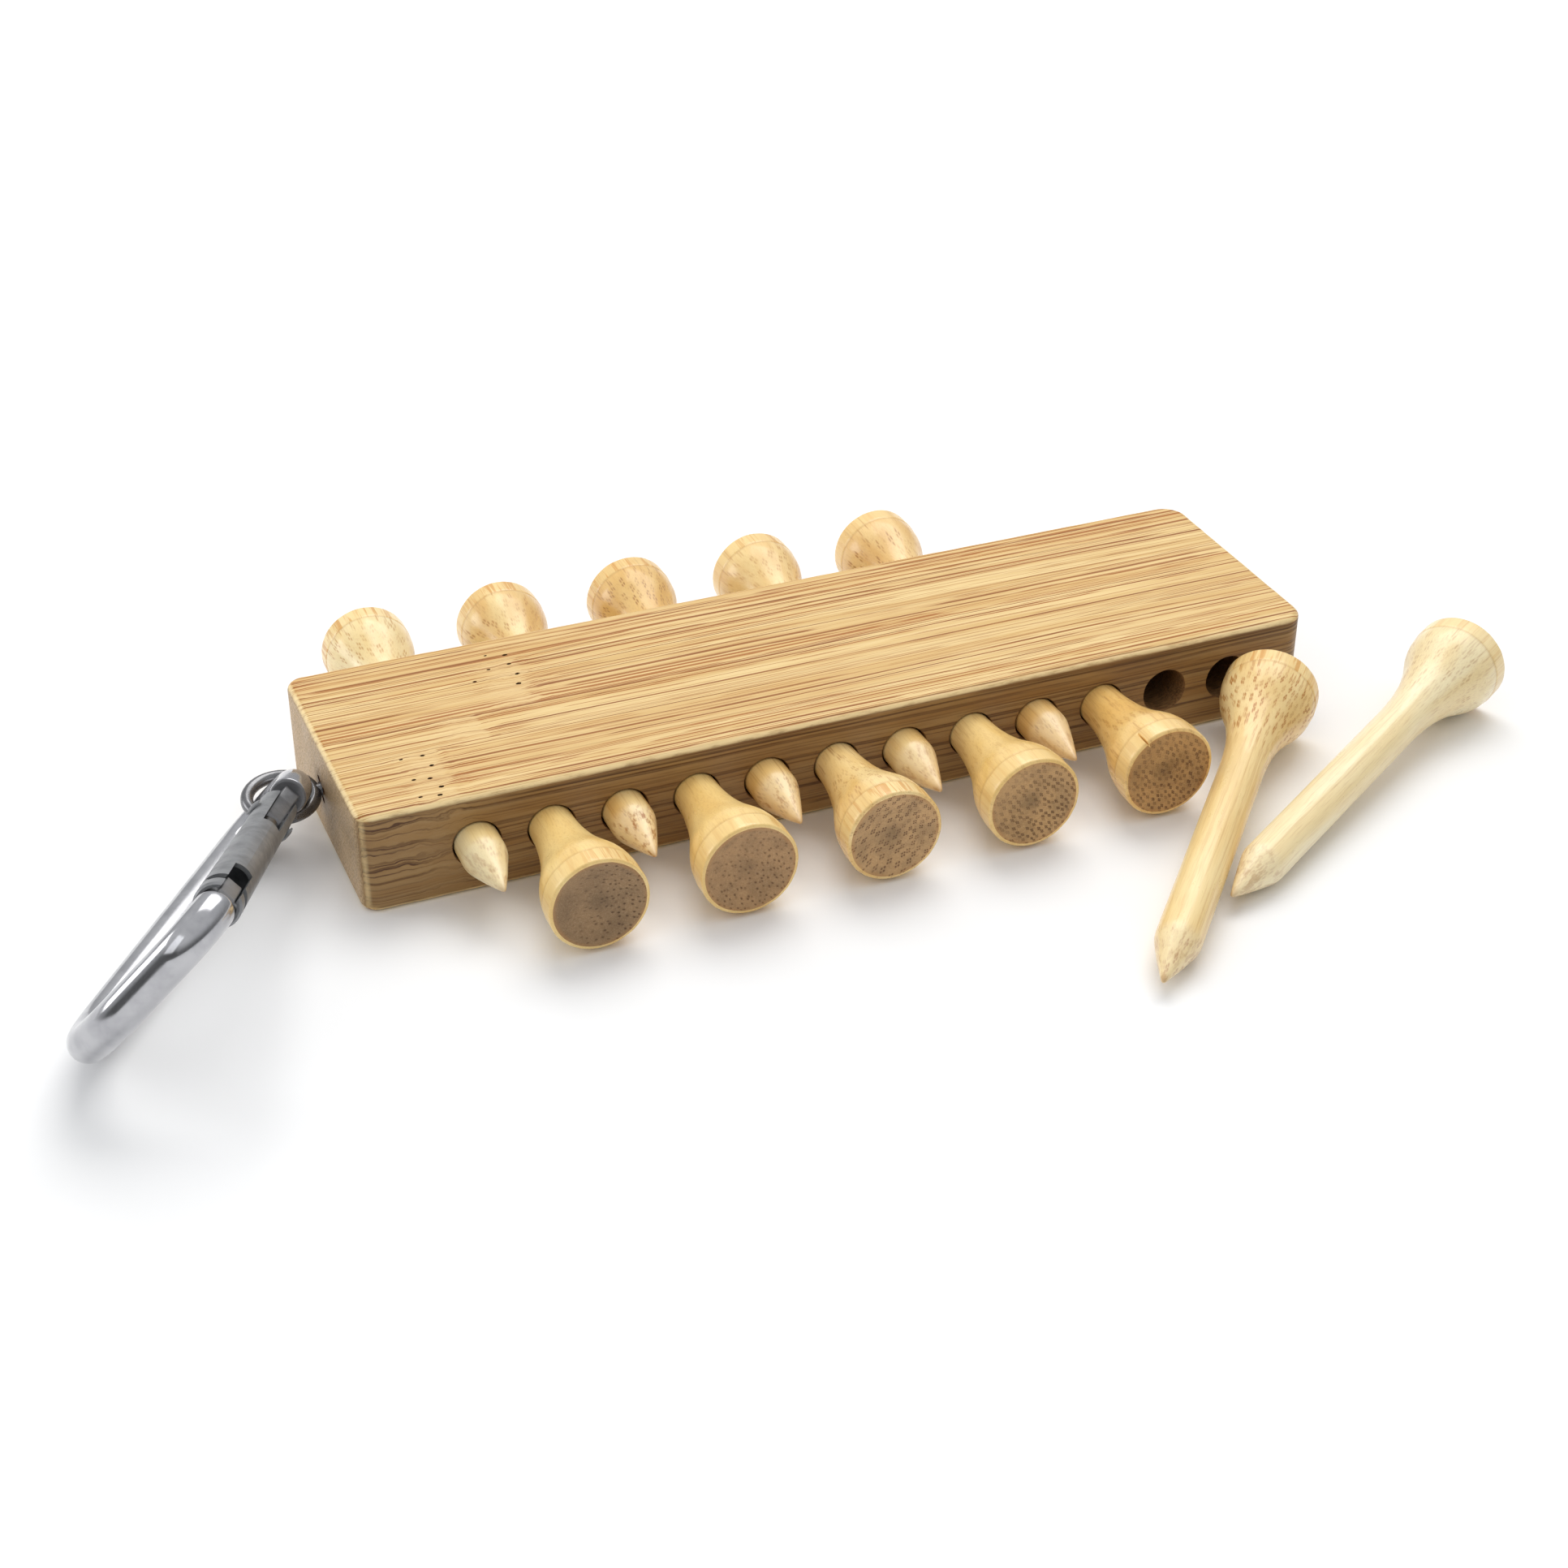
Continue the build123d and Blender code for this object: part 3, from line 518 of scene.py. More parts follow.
# ---------------------------------------------------------------------------
# materials: the block
# ---------------------------------------------------------------------------
def block_materials():
    t = Tree("laminated_bamboo")
    P = t.mm()
    x, y, z = t.sep(P)
    # six laminated strips side by side; each has its own tone, shift and node
    yn = t.math("MULTIPLY_ADD", y, 1 / 32.0, 0.5)
    edges = [0.0, 0.165, 0.338, 0.500, 0.632, 0.822]
    tone = t.steps(yn, list(zip(edges, (0.30, 0.55, 0.35, 0.75, 0.25, 0.85))))
    shift = t.steps(yn, list(zip(edges, (0.10, 0.55, 0.32, 0.83, 0.21, 0.67))))
    # node places along X as grey: x = grey * 120 - 60
    where = t.steps(yn, list(zip(edges, ((-47.6 + 60) / 120, (-47.2 + 60) / 120, (-41.0 + 60) / 120,
                                         (-33.6 + 60) / 120, (-33.5 + 60) / 120, (-86 + 60) / 120))))
    xn = t.math("MULTIPLY_ADD", where, 120.0, -60.0)
    rel = t.math("SUBTRACT", x, xn)
    node = t.ramp(t.math("ABSOLUTE", rel), 0.8, 6.5, 1.0, 0.0)
    wall = t.ramp(t.math("ABSOLUTE", t.math("SUBTRACT", z, 6.0)), 5.15, 5.6, 1.0, 0.0)
    side = t.math("MAXIMUM", t.ramp(t.math("ABSOLUTE", y), 15.35, 15.72), wall)
    end = t.ramp(t.math("ABSOLUTE", x), 56.6, 56.97)
    # waviness: faint everywhere, strong at a node and low on the near left corner
    w1 = t.noise(t.stretch(P, (0.020, 0.14, 0.14)), 1.0, 2.0, out="Color")
    w2 = t.noise(t.stretch(P, (0.33, 0.55, 0.55), (3.0, 1.0, 7.0)), 1.0, 3.0, out="Color")
    _, wy1, wz1 = t.sep(t.vmath("SUBTRACT", w1, (0.5, 0.5, 0.5)))
    _, wy2, wz2 = t.sep(t.vmath("SUBTRACT", w2, (0.5, 0.5, 0.5)))
    knot = t.math("MULTIPLY", t.math("MULTIPLY", t.ramp(x, -46.5, -43.5, 1.0, 0.0), t.ramp(z, 3.6, 5.6)), side)
    nodal = t.math("ADD", t.math("MULTIPLY", node, 0.9), t.math("MULTIPLY", knot, 0.8))
    yflat = t.math("MULTIPLY", t.math("SIGN", y), 16.0)
    yflat = t.math("MULTIPLY_ADD", t.math("SUBTRACT", yflat, y), t.math("MULTIPLY", wall, t.ramp(x, -56.6, -56.9, 1.0, 0.0)), y)
    yy = t.math("ADD", t.math("MULTIPLY_ADD", wy1, 1.0, yflat), t.math("MULTIPLY", wy2, nodal))
    zz = t.math("ADD", t.math("MULTIPLY_ADD", wz1, 1.0, z), t.math("MULTIPLY", wz2, nodal))
    sy = t.math("MULTIPLY_ADD", shift, 37.0, yy)
    sz = t.math("MULTIPLY_ADD", shift, 91.0, zz)
    spot, halo, rnd = bundles(t, sy, sz, 0.95, (11.0, 23.0), lobe=(0.17, 0.15), spot=(0.05, 0.14))
    spot2, halo2, rnd2 = bundles(t, t.math("MULTIPLY", sy, 1.9), t.math("MULTIPLY", sz, 1.9), 0.80, (51.0, 3.0),
                                 lobe=(0.14, 0.12), spot=(0.04, 0.16))
    # streaks along X; c runs across the top and on down the sides, so streaks turn the corner
    c = t.math("ADD", t.math("MULTIPLY_ADD", zz, 0.83, yy), t.math("MULTIPLY", shift, 37.0))
    major = lines(t, c, x, 1.30, 0.170, 1.0, 0.86, 0.040, gate=(0.36, 0.47))
    mid = lines(t, c, x, 0.66, 0.105, 2.0, 0.78, 0.055, gate=(0.38, 0.50))
    fine = lines(t, c, x, 0.34, 0.080, 3.0, 0.72, 0.080, gate=(0.38, 0.52))
    S = t.xyz(x, sy, sz)
    groups = t.noise(t.stretch(S, (0.010, 0.40, 0.40), (2.0, 5.0, 0.0)), 1.0, 1.0)
    dense = t.ramp(groups, 0.38, 0.60)
    hair = t.noise(t.stretch(S, (0.05, 8.0, 8.0)), 1.0, 2.0, 0.6)
    # the pale band with pits at a node, and the short dark flames that start past it
    jag = t.noise(t.stretch(P, (0.0, 1.7, 1.7), (0.0, 3.0, 3.0)), 1.0, 2.0, 0.7)
    start = t.math("MULTIPLY_ADD", t.math("SUBTRACT", jag, 0.5), -5.0, rel)
    pale = t.math("MULTIPLY", t.ramp(start, -4.2, -1.2), t.ramp(start, 1.2, 1.9, 1.0, 0.0))
    flame = t.math("MULTIPLY", t.ramp(start, 1.4, 1.9), t.ramp(start, 3.0, 8.5, 1.0, 0.0))
    flame = t.math("MULTIPLY", flame, t.math("SUBTRACT", 1.0, side))
    keep = t.math("MULTIPLY_ADD", pale, -0.50, 1.0)
    major = t.math("MULTIPLY", major, keep)
    mid = t.math("MULTIPLY", t.math("MULTIPLY", mid, keep), t.math("ADD", t.math("MULTIPLY_ADD", dense, 0.55, 0.62), t.math("MULTIPLY", flame, 0.6)))
    fine = t.math("MULTIPLY", t.math("MULTIPLY", fine, keep), t.math("ADD", t.math("MULTIPLY_ADD", dense, 0.50, 0.52), t.math("MULTIPLY", flame, 0.6)))
    top_light, top_deep = srgb(236, 207, 146), srgb(218, 181, 116)
    line_col, dark_col = srgb(172, 106, 40), srgb(132, 76, 28)
    base = t.mix(t.ramp(t.noise(t.stretch(S, (0.022, 0.8, 0.8)), 1.0, 2.0), 0.35, 0.66), top_light, top_deep)
    base = t.mix(t.ramp(tone, 0.2, 0.9, 0.0, 0.35, smooth=False), base, srgb(212, 168, 102))
    base = t.mix(t.math("MULTIPLY", t.ramp(hair, 0.50, 0.72), 0.20), base, line_col)
    base = t.mix(t.math("MULTIPLY", t.ramp(hair, 0.48, 0.30), 0.22), base, srgb(242, 216, 164))
    col = t.mix(t.math("MULTIPLY", flame, 0.10), base, srgb(208, 156, 84))
    col = t.mix(t.math("MULTIPLY", pale, 0.18), col, srgb(234, 200, 146))
    col = t.mix(fine, col, line_col)
    col = t.mix(mid, col, line_col)
    col = t.mix(t.math("MULTIPLY", major, 0.90), col, line_col)
    col = t.mix(t.math("MULTIPLY", t.math("MULTIPLY", major, t.ramp(hair, 0.38, 0.55)), 0.70), col, dark_col)
    # glue lines between strips
    glue = None
    for e in edges[1:]:
        d = t.math("ABSOLUTE", t.math("SUBTRACT", y, (e - 0.5) * 32.0))
        g = t.ramp(d, 0.03, 0.11, 1.0, 0.0)
        glue = g if glue is None else t.math("MAXIMUM", glue, g)
    col = t.mix(t.math("MULTIPLY", glue, 0.25), col, dark_col)
    # cut sides: the long sides are darker, partly their own colour and partly painted shade; the sawn ends are greyer,
    # a little painted shade darker, and show bundle ends
    sidecol = t.mix(0.55, base, srgb(168, 126, 76))
    blotch = t.noise(t.stretch(P, (0.05, 0.3, 0.3), (8.0, 1.0, 2.0)), 1.0, 4.0, 0.6)
    sidecol = t.mix(t.math("MULTIPLY", t.ramp(blotch, 0.42, 0.66), 0.35), sidecol, srgb(150, 108, 62))
    sidecol = t.mix(t.math("MULTIPLY", major, 0.42), sidecol, srgb(96, 62, 34))
    sidecol = t.mix(t.math("MULTIPLY", mid, t.math("MULTIPLY_ADD", knot, 0.4, 0.45)), sidecol, srgb(104, 70, 40))
    sidecol = t.mix(t.math("MULTIPLY", fine, 0.6), sidecol, srgb(110, 76, 44))
    under = t.math("MULTIPLY", t.ramp(t.math("MULTIPLY_ADD", t.math("SUBTRACT", blotch, 0.5), 0.5, z), 11.15, 11.45), t.ramp(x, -44.0, -30.0, 0.25, 1.0))
    sidecol = t.mix(t.math("MULTIPLY", under, 0.16), sidecol, srgb(170, 96, 44))
    ledge = t.math("MULTIPLY", t.ramp(t.math("ABSOLUTE", t.math("SUBTRACT", zz, 10.95)), 0.05, 0.15, 1.0, 0.0), t.ramp(x, -44.0, -36.0))
    sidecol = t.mix(t.math("MULTIPLY", ledge, 0.65), sidecol, srgb(84, 52, 28))
    # painted shade: the long sides are darkened as if they stood in shade
    sidecol = t.mix(1.0, sidecol, (0.67, 0.63, 0.61, 1), "MULTIPLY")
    col = t.mix(side, col, sidecol)
    ends = t.math("ADD", t.math("MULTIPLY", spot, 0.50), t.math("MULTIPLY", spot2, 0.40), clamp=True)
    speck = t.noise(t.stretch(P, (1.0, 4.2, 4.2)), 1.0, 4.0, 0.7)
    endcol = t.mix(t.ramp(speck, 0.35, 0.66), srgb(226, 196, 152), srgb(176, 142, 100))
    endcol = t.mix(t.math("MULTIPLY", ends, 0.60), endcol, srgb(112, 84, 54))
    # painted shade: the sawn end is darkened a little as if in shade
    endcol = t.mix(1.0, endcol, (0.86, 0.86, 0.87, 1), "MULTIPLY")
    stain = t.ramp(t.vmath("DISTANCE", P, (-57.0, 0.75, 6.15)), 0.9, 3.4, 0.55, 0.0)
    endcol = t.mix(stain, endcol, srgb(110, 80, 52))
    col = t.mix(end, col, endcol)
    # paler arris along the top and down the corners: partly wear, partly a painted highlight on the rounded edge
    wear_and_highlight = t.noise(t.stretch(P, (0.28, 1.2, 1.2), (7.0, 1.0, 3.0)), 1.0, 4.0, 0.7)
    ey = t.math("SUBTRACT", 15.75, t.math("ABSOLUTE", y))
    ez = t.math("SUBTRACT", 6.0, t.math("ABSOLUTE", t.math("SUBTRACT", z, 6.0)))
    ex = t.math("SUBTRACT", 57.0, t.math("ABSOLUTE", x))
    e1 = t.math("MULTIPLY", t.ramp(ey, -0.10, 0.75, 1.0, 0.0), t.ramp(ez, 0.05, 0.85, 1.0, 0.0))
    e2 = t.math("MULTIPLY", t.ramp(ex, 0.0, 0.80, 1.0, 0.0), t.ramp(ez, 0.0, 0.75, 1.0, 0.0))
    e3 = t.math("MULTIPLY", t.ramp(ex, 0.0, 1.3, 1.0, 0.0), t.ramp(ey, 0.0, 1.3, 1.0, 0.0))
    arris = t.math("MAXIMUM", e1, t.math("MAXIMUM", e2, e3))
    arris = t.math("MULTIPLY", t.ramp(arris, 0.10, 0.55), t.ramp(wear_and_highlight, 0.34, 0.56, 0.45, 1.0))
    col = t.mix(t.math("MULTIPLY", arris, 0.85), col, srgb(252, 226, 170))
    grime = t.noise(t.stretch(P, (0.10, 0.22, 0.22), (6.0, 1.0, 2.0)), 1.0, 5.0, 0.62)
    rough = t.math("ADD", t.ramp(grime, 0.3, 0.7, 0.40, 0.54), t.math("MULTIPLY", major, 0.08))
    height = t.math("SUBTRACT", t.math("MULTIPLY", hair, 0.5), t.math("ADD", t.math("MULTIPLY", major, 0.9), t.math("MULTIPLY", mid, 0.5)))
    height = t.math("SUBTRACT", height, t.math("MULTIPLY", t.math("MULTIPLY", end, ends), 0.8))
    nrm = t.bump(height, 0.45, 0.00010)
    outer = t.shader(color=col, rough=rough, normal=nrm, coat=0.06, coat_rough=0.28, spec=0.32)

    # drilled walls: raw fibre ends and sides, a little scorched, with drill rings; painted shade makes them darker
    # deeper in the bore
    t = Tree("drilled_bamboo")
    P = t.mm()
    x, y, z = t.sep(P)
    f = t.noise(t.stretch(P, (0.35, 3.0, 5.0)), 1.0, 4.0, 0.65)
    ring = t.noise(t.stretch(P, (0.5, 4.5, 0.5)), 1.0, 3.0, 0.6)
    col = t.mix(t.ramp(f, 0.35, 0.7), srgb(150, 112, 70), srgb(104, 74, 44))
    col = t.mix(t.math("MULTIPLY", t.ramp(ring, 0.5, 0.7), 0.5), col, srgb(72, 50, 30))
    # painted shade: darker deeper inside the bore
    deep = t.ramp(t.math("ABSOLUTE", y), 15.2, 11.0)
    col = t.mix(t.math("MULTIPLY", deep, 0.55), col, srgb(60, 42, 26))
    nrm = t.bump(t.math("ADD", f, t.math("MULTIPLY", ring, 0.8)), 0.7, 0.00016)
    bore = t.shader(color=col, rough=0.72, normal=nrm, coat=0.0, spec=0.25)

    # pits in the node bands and the torn wood round the screw eye
    t = Tree("pitted_bamboo")
    P = t.mm()
    f = t.noise(t.stretch(P, (2.5, 5.0, 5.0)), 1.0, 4.0, 0.7)
    col = t.mix(t.ramp(f, 0.3, 0.7), srgb(112, 70, 36), srgb(52, 32, 18))
    nrm = t.bump(f, 0.8, 0.0001)
    pit = t.shader(color=col, rough=0.85, normal=nrm, spec=0.2)
    return outer, bore, pit


# ---------------------------------------------------------------------------
# the block
# ---------------------------------------------------------------------------
def rounded_loop(L, W, r_left, r_right, inset, step=0.9):
    """Points of the outline, counter-clockwise; the number of points doesn't depend on inset."""
    pts = []
    hx, hy = L / 2, W / 2
    corners = [((hx - r_right, -hy + r_right), r_right, -90), ((hx - r_right, hy - r_right), r_right, 0),
               ((-hx + r_left, hy - r_left), r_left, 90), ((-hx + r_left, -hy + r_left), r_left, 180)]
    arc_n = 12
    for k, ((cx, cy), r, a0) in enumerate(corners):
        for i in range(arc_n + 1):
            a = math.radians(a0 + 90.0 * i / arc_n)
            pts.append((cx + (r - inset) * math.cos(a), cy + (r - inset) * math.sin(a)))
        (nx, ny), nr, na = corners[(k + 1) % 4]
        a = math.radians(a0 + 90)
        p = np.array([cx + (r - inset) * math.cos(a), cy + (r - inset) * math.sin(a)])
        b = math.radians(na)
        q = np.array([nx + (nr - inset) * math.cos(b), ny + (nr - inset) * math.sin(b)])
        full = L if k in (1, 3) else W
        m = int(full / step)
        for i in range(1, m):
            pts.append(tuple(p + (q - p) * i / m))
    return pts


def build_block():
    lo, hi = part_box("holder_block")
    L, W, H = [(hi[k] - lo[k]) / MM for k in range(3)]
    er, rows = 0.8, []
    rows.append((0.0, er + 0.5))
    for i in range(0, 9):
        a = math.pi / 2 * i / 8
        rows.append((er - er * math.cos(a), er - er * math.sin(a)))
    for zc in (1.3, 3.5, 6.0, 8.5, 10.7):
        rows.append((zc, 0.0))
    for i in range(0, 9):
        a = math.pi / 2 * i / 8
        rows.append((H - er + er * math.sin(a), er - er * math.cos(a)))
    rows.append((H, er + 0.5))
    verts, faces = [], []
    count = None
    for k, (zc, inset) in enumerate(rows):
        loop = rounded_loop(L, W, 2.0, 3.0, inset)
        count = len(loop)
        for px, py in loop:
            v = Vector((px, py, zc))
            if 1 < inset * 10 < 7.6 and 0.02 < zc < H - 0.02:      # the sanded arris is not quite even
                c = Vector((max(-L / 2 + 3, min(L / 2 - 3, px)), max(-W / 2 + 3, min(W / 2 - 3, py)), H / 2 + (2.5 if zc > H / 2 else -2.5)))
                d = (v - c).normalized()
                n = noise.noise(Vector((px * 0.35, py * 0.35, zc * 0.5 + 3))) + 0.5 * noise.noise(Vector((px * 1.3, py * 1.3, zc * 1.5)))
                v = v + d * (0.045 * n - 0.03)
            verts.append(tuple(v * MM))
    for k in range(len(rows) - 1):
        for i in range(count):
            j = (i + 1) % count
            faces.append((k * count + i, k * count + j, (k + 1) * count + j, (k + 1) * count + i))
    faces.append(tuple(reversed(range(count))))
    faces.append(tuple((len(rows) - 1) * count + i for i in range(count)))
    ob = new_object("holder_block_laminated", verts, faces)

    # one cutter mesh: twelve bores with broken mouths, the pits of the nodes, the torn mouth of the pilot hole
    cv, cf, cs = [], [], []

    def lathe_y(xc, zc, rows, seg, seed):
        base = len(cv)
        for yy, rr in rows:
            for s in range(seg):
                a = 2 * math.pi * s / seg
                n = noise.noise(Vector((math.cos(a) * 2.2, math.sin(a) * 2.2, yy * 0.35 + seed * 7)))
                flare = max(0.0, rr - 2.66)
                r = rr + 0.006 * n + flare * 0.35 * n
                cv.append(((xc + r * math.cos(a)) * MM, yy * MM, (zc + r * math.sin(a)) * MM))
        n = len(rows)
        for k in range(n - 1):
            for s in range(seg):
                q = (s + 1) % seg
                cf.append((base + k * seg + s, base + (k + 1) * seg + s, base + (k + 1) * seg + q, base + k * seg + q)); cs.append(1)
        cf.append(tuple(base + s for s in range(seg))); cs.append(1)
        cf.append(tuple(base + (n - 1) * seg + s for s in reversed(range(seg)))); cs.append(1)

    h = W / 2
    for i in range(12):
        xc = -44.38 + 8.267 * i
        half = [(h + 0.35, 2.65 + 0.30), (h + 0.02, 2.65 + 0.12), (h - 0.08, 2.65 + 0.06), (h - 0.20, 2.65 + 0.02), (h - 0.5, 2.65)]
        rows_y = [(-a, b) for a, b in half] + [(yy, 2.65) for yy in (-10, -5, 0, 5, 10)] + [(a, b) for a, b in reversed(half)]
        lathe_y(xc, H / 2, rows_y, 72, i + 1)

    def blob(centre, radii, seed, rings=7, seg=12):
        base = len(cv)
        c = Vector(centre)
        cv.append(tuple((c + Vector((0, 0, radii[2]))) * MM))
        for k in range(1, rings):
            p = math.pi * k / rings
            for s in range(seg):
                a = 2 * math.pi * s / seg
                d = Vector((math.sin(p) * math.cos(a), math.sin(p) * math.sin(a), math.cos(p)))
                n = 1 + 0.35 * noise.noise(d * 1.7 + Vector((seed, seed * 2, 0)))
                cv.append(tuple((c + Vector((d.x * radii[0], d.y * radii[1], d.z * radii[2])) * n) * MM))
        last = len(cv)
        cv.append(tuple((c - Vector((0, 0, radii[2]))) * MM))
        for s in range(seg):
            q = (s + 1) % seg
            cf.append((base, base + 1 + s, base + 1 + q)); cs.append(2)
            for k in range(rings - 2):
                o = base + 1 + k * seg
                cf.append((o + s, o + seg + s, o + seg + q, o + q)); cs.append(2)
            o = base + 1 + (rings - 2) * seg
            cf.append((o + s, last, o + q)); cs.append(2)

    pits = [(-32.49, 11.22, .34), (-32.68, 9.11, .30), (-32.46, 6.65, .32), (-33.0, 4.54, .36), (-35.18, 8.76, .26),
            (-37.41, 6.75, .26), (-47.15, -6.08, .30), (-46.78, -8.34, .32), (-47.65, -10.76, .30), (-49.32, -10.41, .28),
            (-47.0, -12.75, .34), (-47.57, -14.25, .34), (-49.49, -5.99, .24), (-49.6, -13.9, .26), (-34.6, 11.9, .22)]
    for k, (px, py, pr) in enumerate(pits):
        blob((px, py, H + 0.02), (pr * 0.95, pr * 0.62, 0.30 + 0.2 * pr), k * 1.7 + 1)
    for k, (px, py, pz, a, b, c) in enumerate([(-57.02, 1.45, 7.05, .30, .60, .42), (-57.02, 0.1, 5.2, .24, .55, .38),
                                               (-57.02, 1.9, 5.9, .22, .40, .50), (-57.02, -0.45, 6.6, .22, .42, .45)]):
        blob((px, py, pz), (a, b, c), 40 + k * 2.3)
    # a straight pilot hole for the screw eye
    base = len(cv)
    seg = 28
    for xx, rr in ((-57.6, 0.98), (-56.95, 0.90), (-56.7, 0.84), (-48.6, 0.84)):
        for s in range(seg):
            a = 2 * math.pi * s / seg
            cv.append((xx * MM, (0.75 + rr * math.cos(a)) * MM, (6.15 + rr * math.sin(a)) * MM))
    for k in range(3):
        for s in range(seg):
            q = (s + 1) % seg
            cf.append((base + k * seg + s, base + k * seg + q, base + (k + 1) * seg + q, base + (k + 1) * seg + s)); cs.append(1)
    cf.append(tuple(base + s for s in reversed(range(seg)))); cs.append(1)
    cf.append(tuple(base + 3 * seg + s for s in range(seg))); cs.append(1)
    cutter = new_object("cutter", cv, cf, None, cs)
    bm = bmesh.new(); bm.from_mesh(cutter.data)
    bmesh.ops.recalc_face_normals(bm, faces=bm.faces[:])
    bm.to_mesh(cutter.data); bm.free()
    mats = block_materials()
    for m in mats:
        ob.data.materials.append(m)
        cutter.data.materials.append(m)
    mod = ob.modifiers.new("bores", "BOOLEAN")
    mod.operation, mod.object, mod.solver = "DIFFERENCE", cutter, "EXACT"
    mod.material_mode = "INDEX"
    mod.use_self = True
    apply_modifiers(ob)
    old = cutter.data
    bpy.data.objects.remove(cutter)
    bpy.data.meshes.remove(old)
    sharpen(ob, 32)
    wn = ob.modifiers.new("weighted", "WEIGHTED_NORMAL")
    wn.keep_sharp, wn.weight, wn.mode = True, 90, "FACE_AREA"
    apply_modifiers(ob)
    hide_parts("holder_block")
    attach(ob, "holder")
    return ob


build_block()


# ---------------------------------------------------------------------------
# metal
# ---------------------------------------------------------------------------
def metal(name, colour, dark, rough, spread, scratch=0.25, grain=(0.15, 0.15, 0.15), pit=0.0, metallic=1.0):
    t = Tree(name)
    P = t.mm()
    cloud = t.noise(t.stretch(P, (0.35, 0.35, 0.35)), 1.0, 4.0, 0.6)
    fine = t.noise(t.stretch(P, (9.0, 9.0, 9.0)), 1.0, 3.0, 0.65)
    drawn = t.noise(t.stretch(P, grain), 1.0, 3.0, 0.7, dist=0.4)
    col = t.mix(t.ramp(cloud, 0.35, 0.7), srgb(*colour), srgb(*dark))
    col = t.mix(t.math("MULTIPLY", t.ramp(fine, 0.58, 0.75), 0.25), col, srgb(*[c * 0.72 for c in colour]))
    r = t.ramp(cloud, 0.3, 0.72, rough, rough + spread)
    r = t.math("ADD", r, t.math("MULTIPLY", t.ramp(fine, 0.5, 0.8), spread * 0.8))
    h = t.math("ADD", t.math("MULTIPLY", drawn, scratch), t.math("MULTIPLY", t.ramp(fine, 0.55, 0.8), -pit))
    nrm = t.bump(h, 0.25, 0.00005)
    return t.shader(color=col, rough=r, metal=metallic, normal=nrm)


rod_metal = metal("polished_rod_metal", (190, 190, 193), (172, 172, 176), 0.11, 0.08, 0.18, (0.8, 0.8, 0.8), 0.12, metallic=0.86)
tongue_metal = metal("tongue_metal", (122, 122, 124), (96, 96, 98), 0.36, 0.10, 0.22, (1.4, 1.4, 1.4), 0.3, metallic=0.45)
gate_metal = metal("satin_gate_metal", (140, 141, 143), (118, 119, 121), 0.40, 0.10, 0.22, (1.2, 1.2, 1.2), 0.5, metallic=0.62)
eye_metal = metal("plated_wire_metal", (128, 128, 130), (96, 96, 99), 0.20, 0.12, 0.3, (1.4, 1.4, 1.4), 0.3, metallic=0.72)
spring_metal = metal("spring_wire_metal", (112, 112, 114), (82, 82, 84), 0.30, 0.1, 0.3, (2.0, 2.0, 2.0), 0.2)
for node, mat in (("carabiner_gate", gate_metal), ("gate_pivot_rivet", gate_metal), ("gate_latch_pin", gate_metal),
                  ("gate_plunger", spring_metal), ("gate_spring", spring_metal), ("screw_eye", eye_metal)):
    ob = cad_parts[node]
    ob.data.materials.clear()
    ob.data.materials.append(mat)


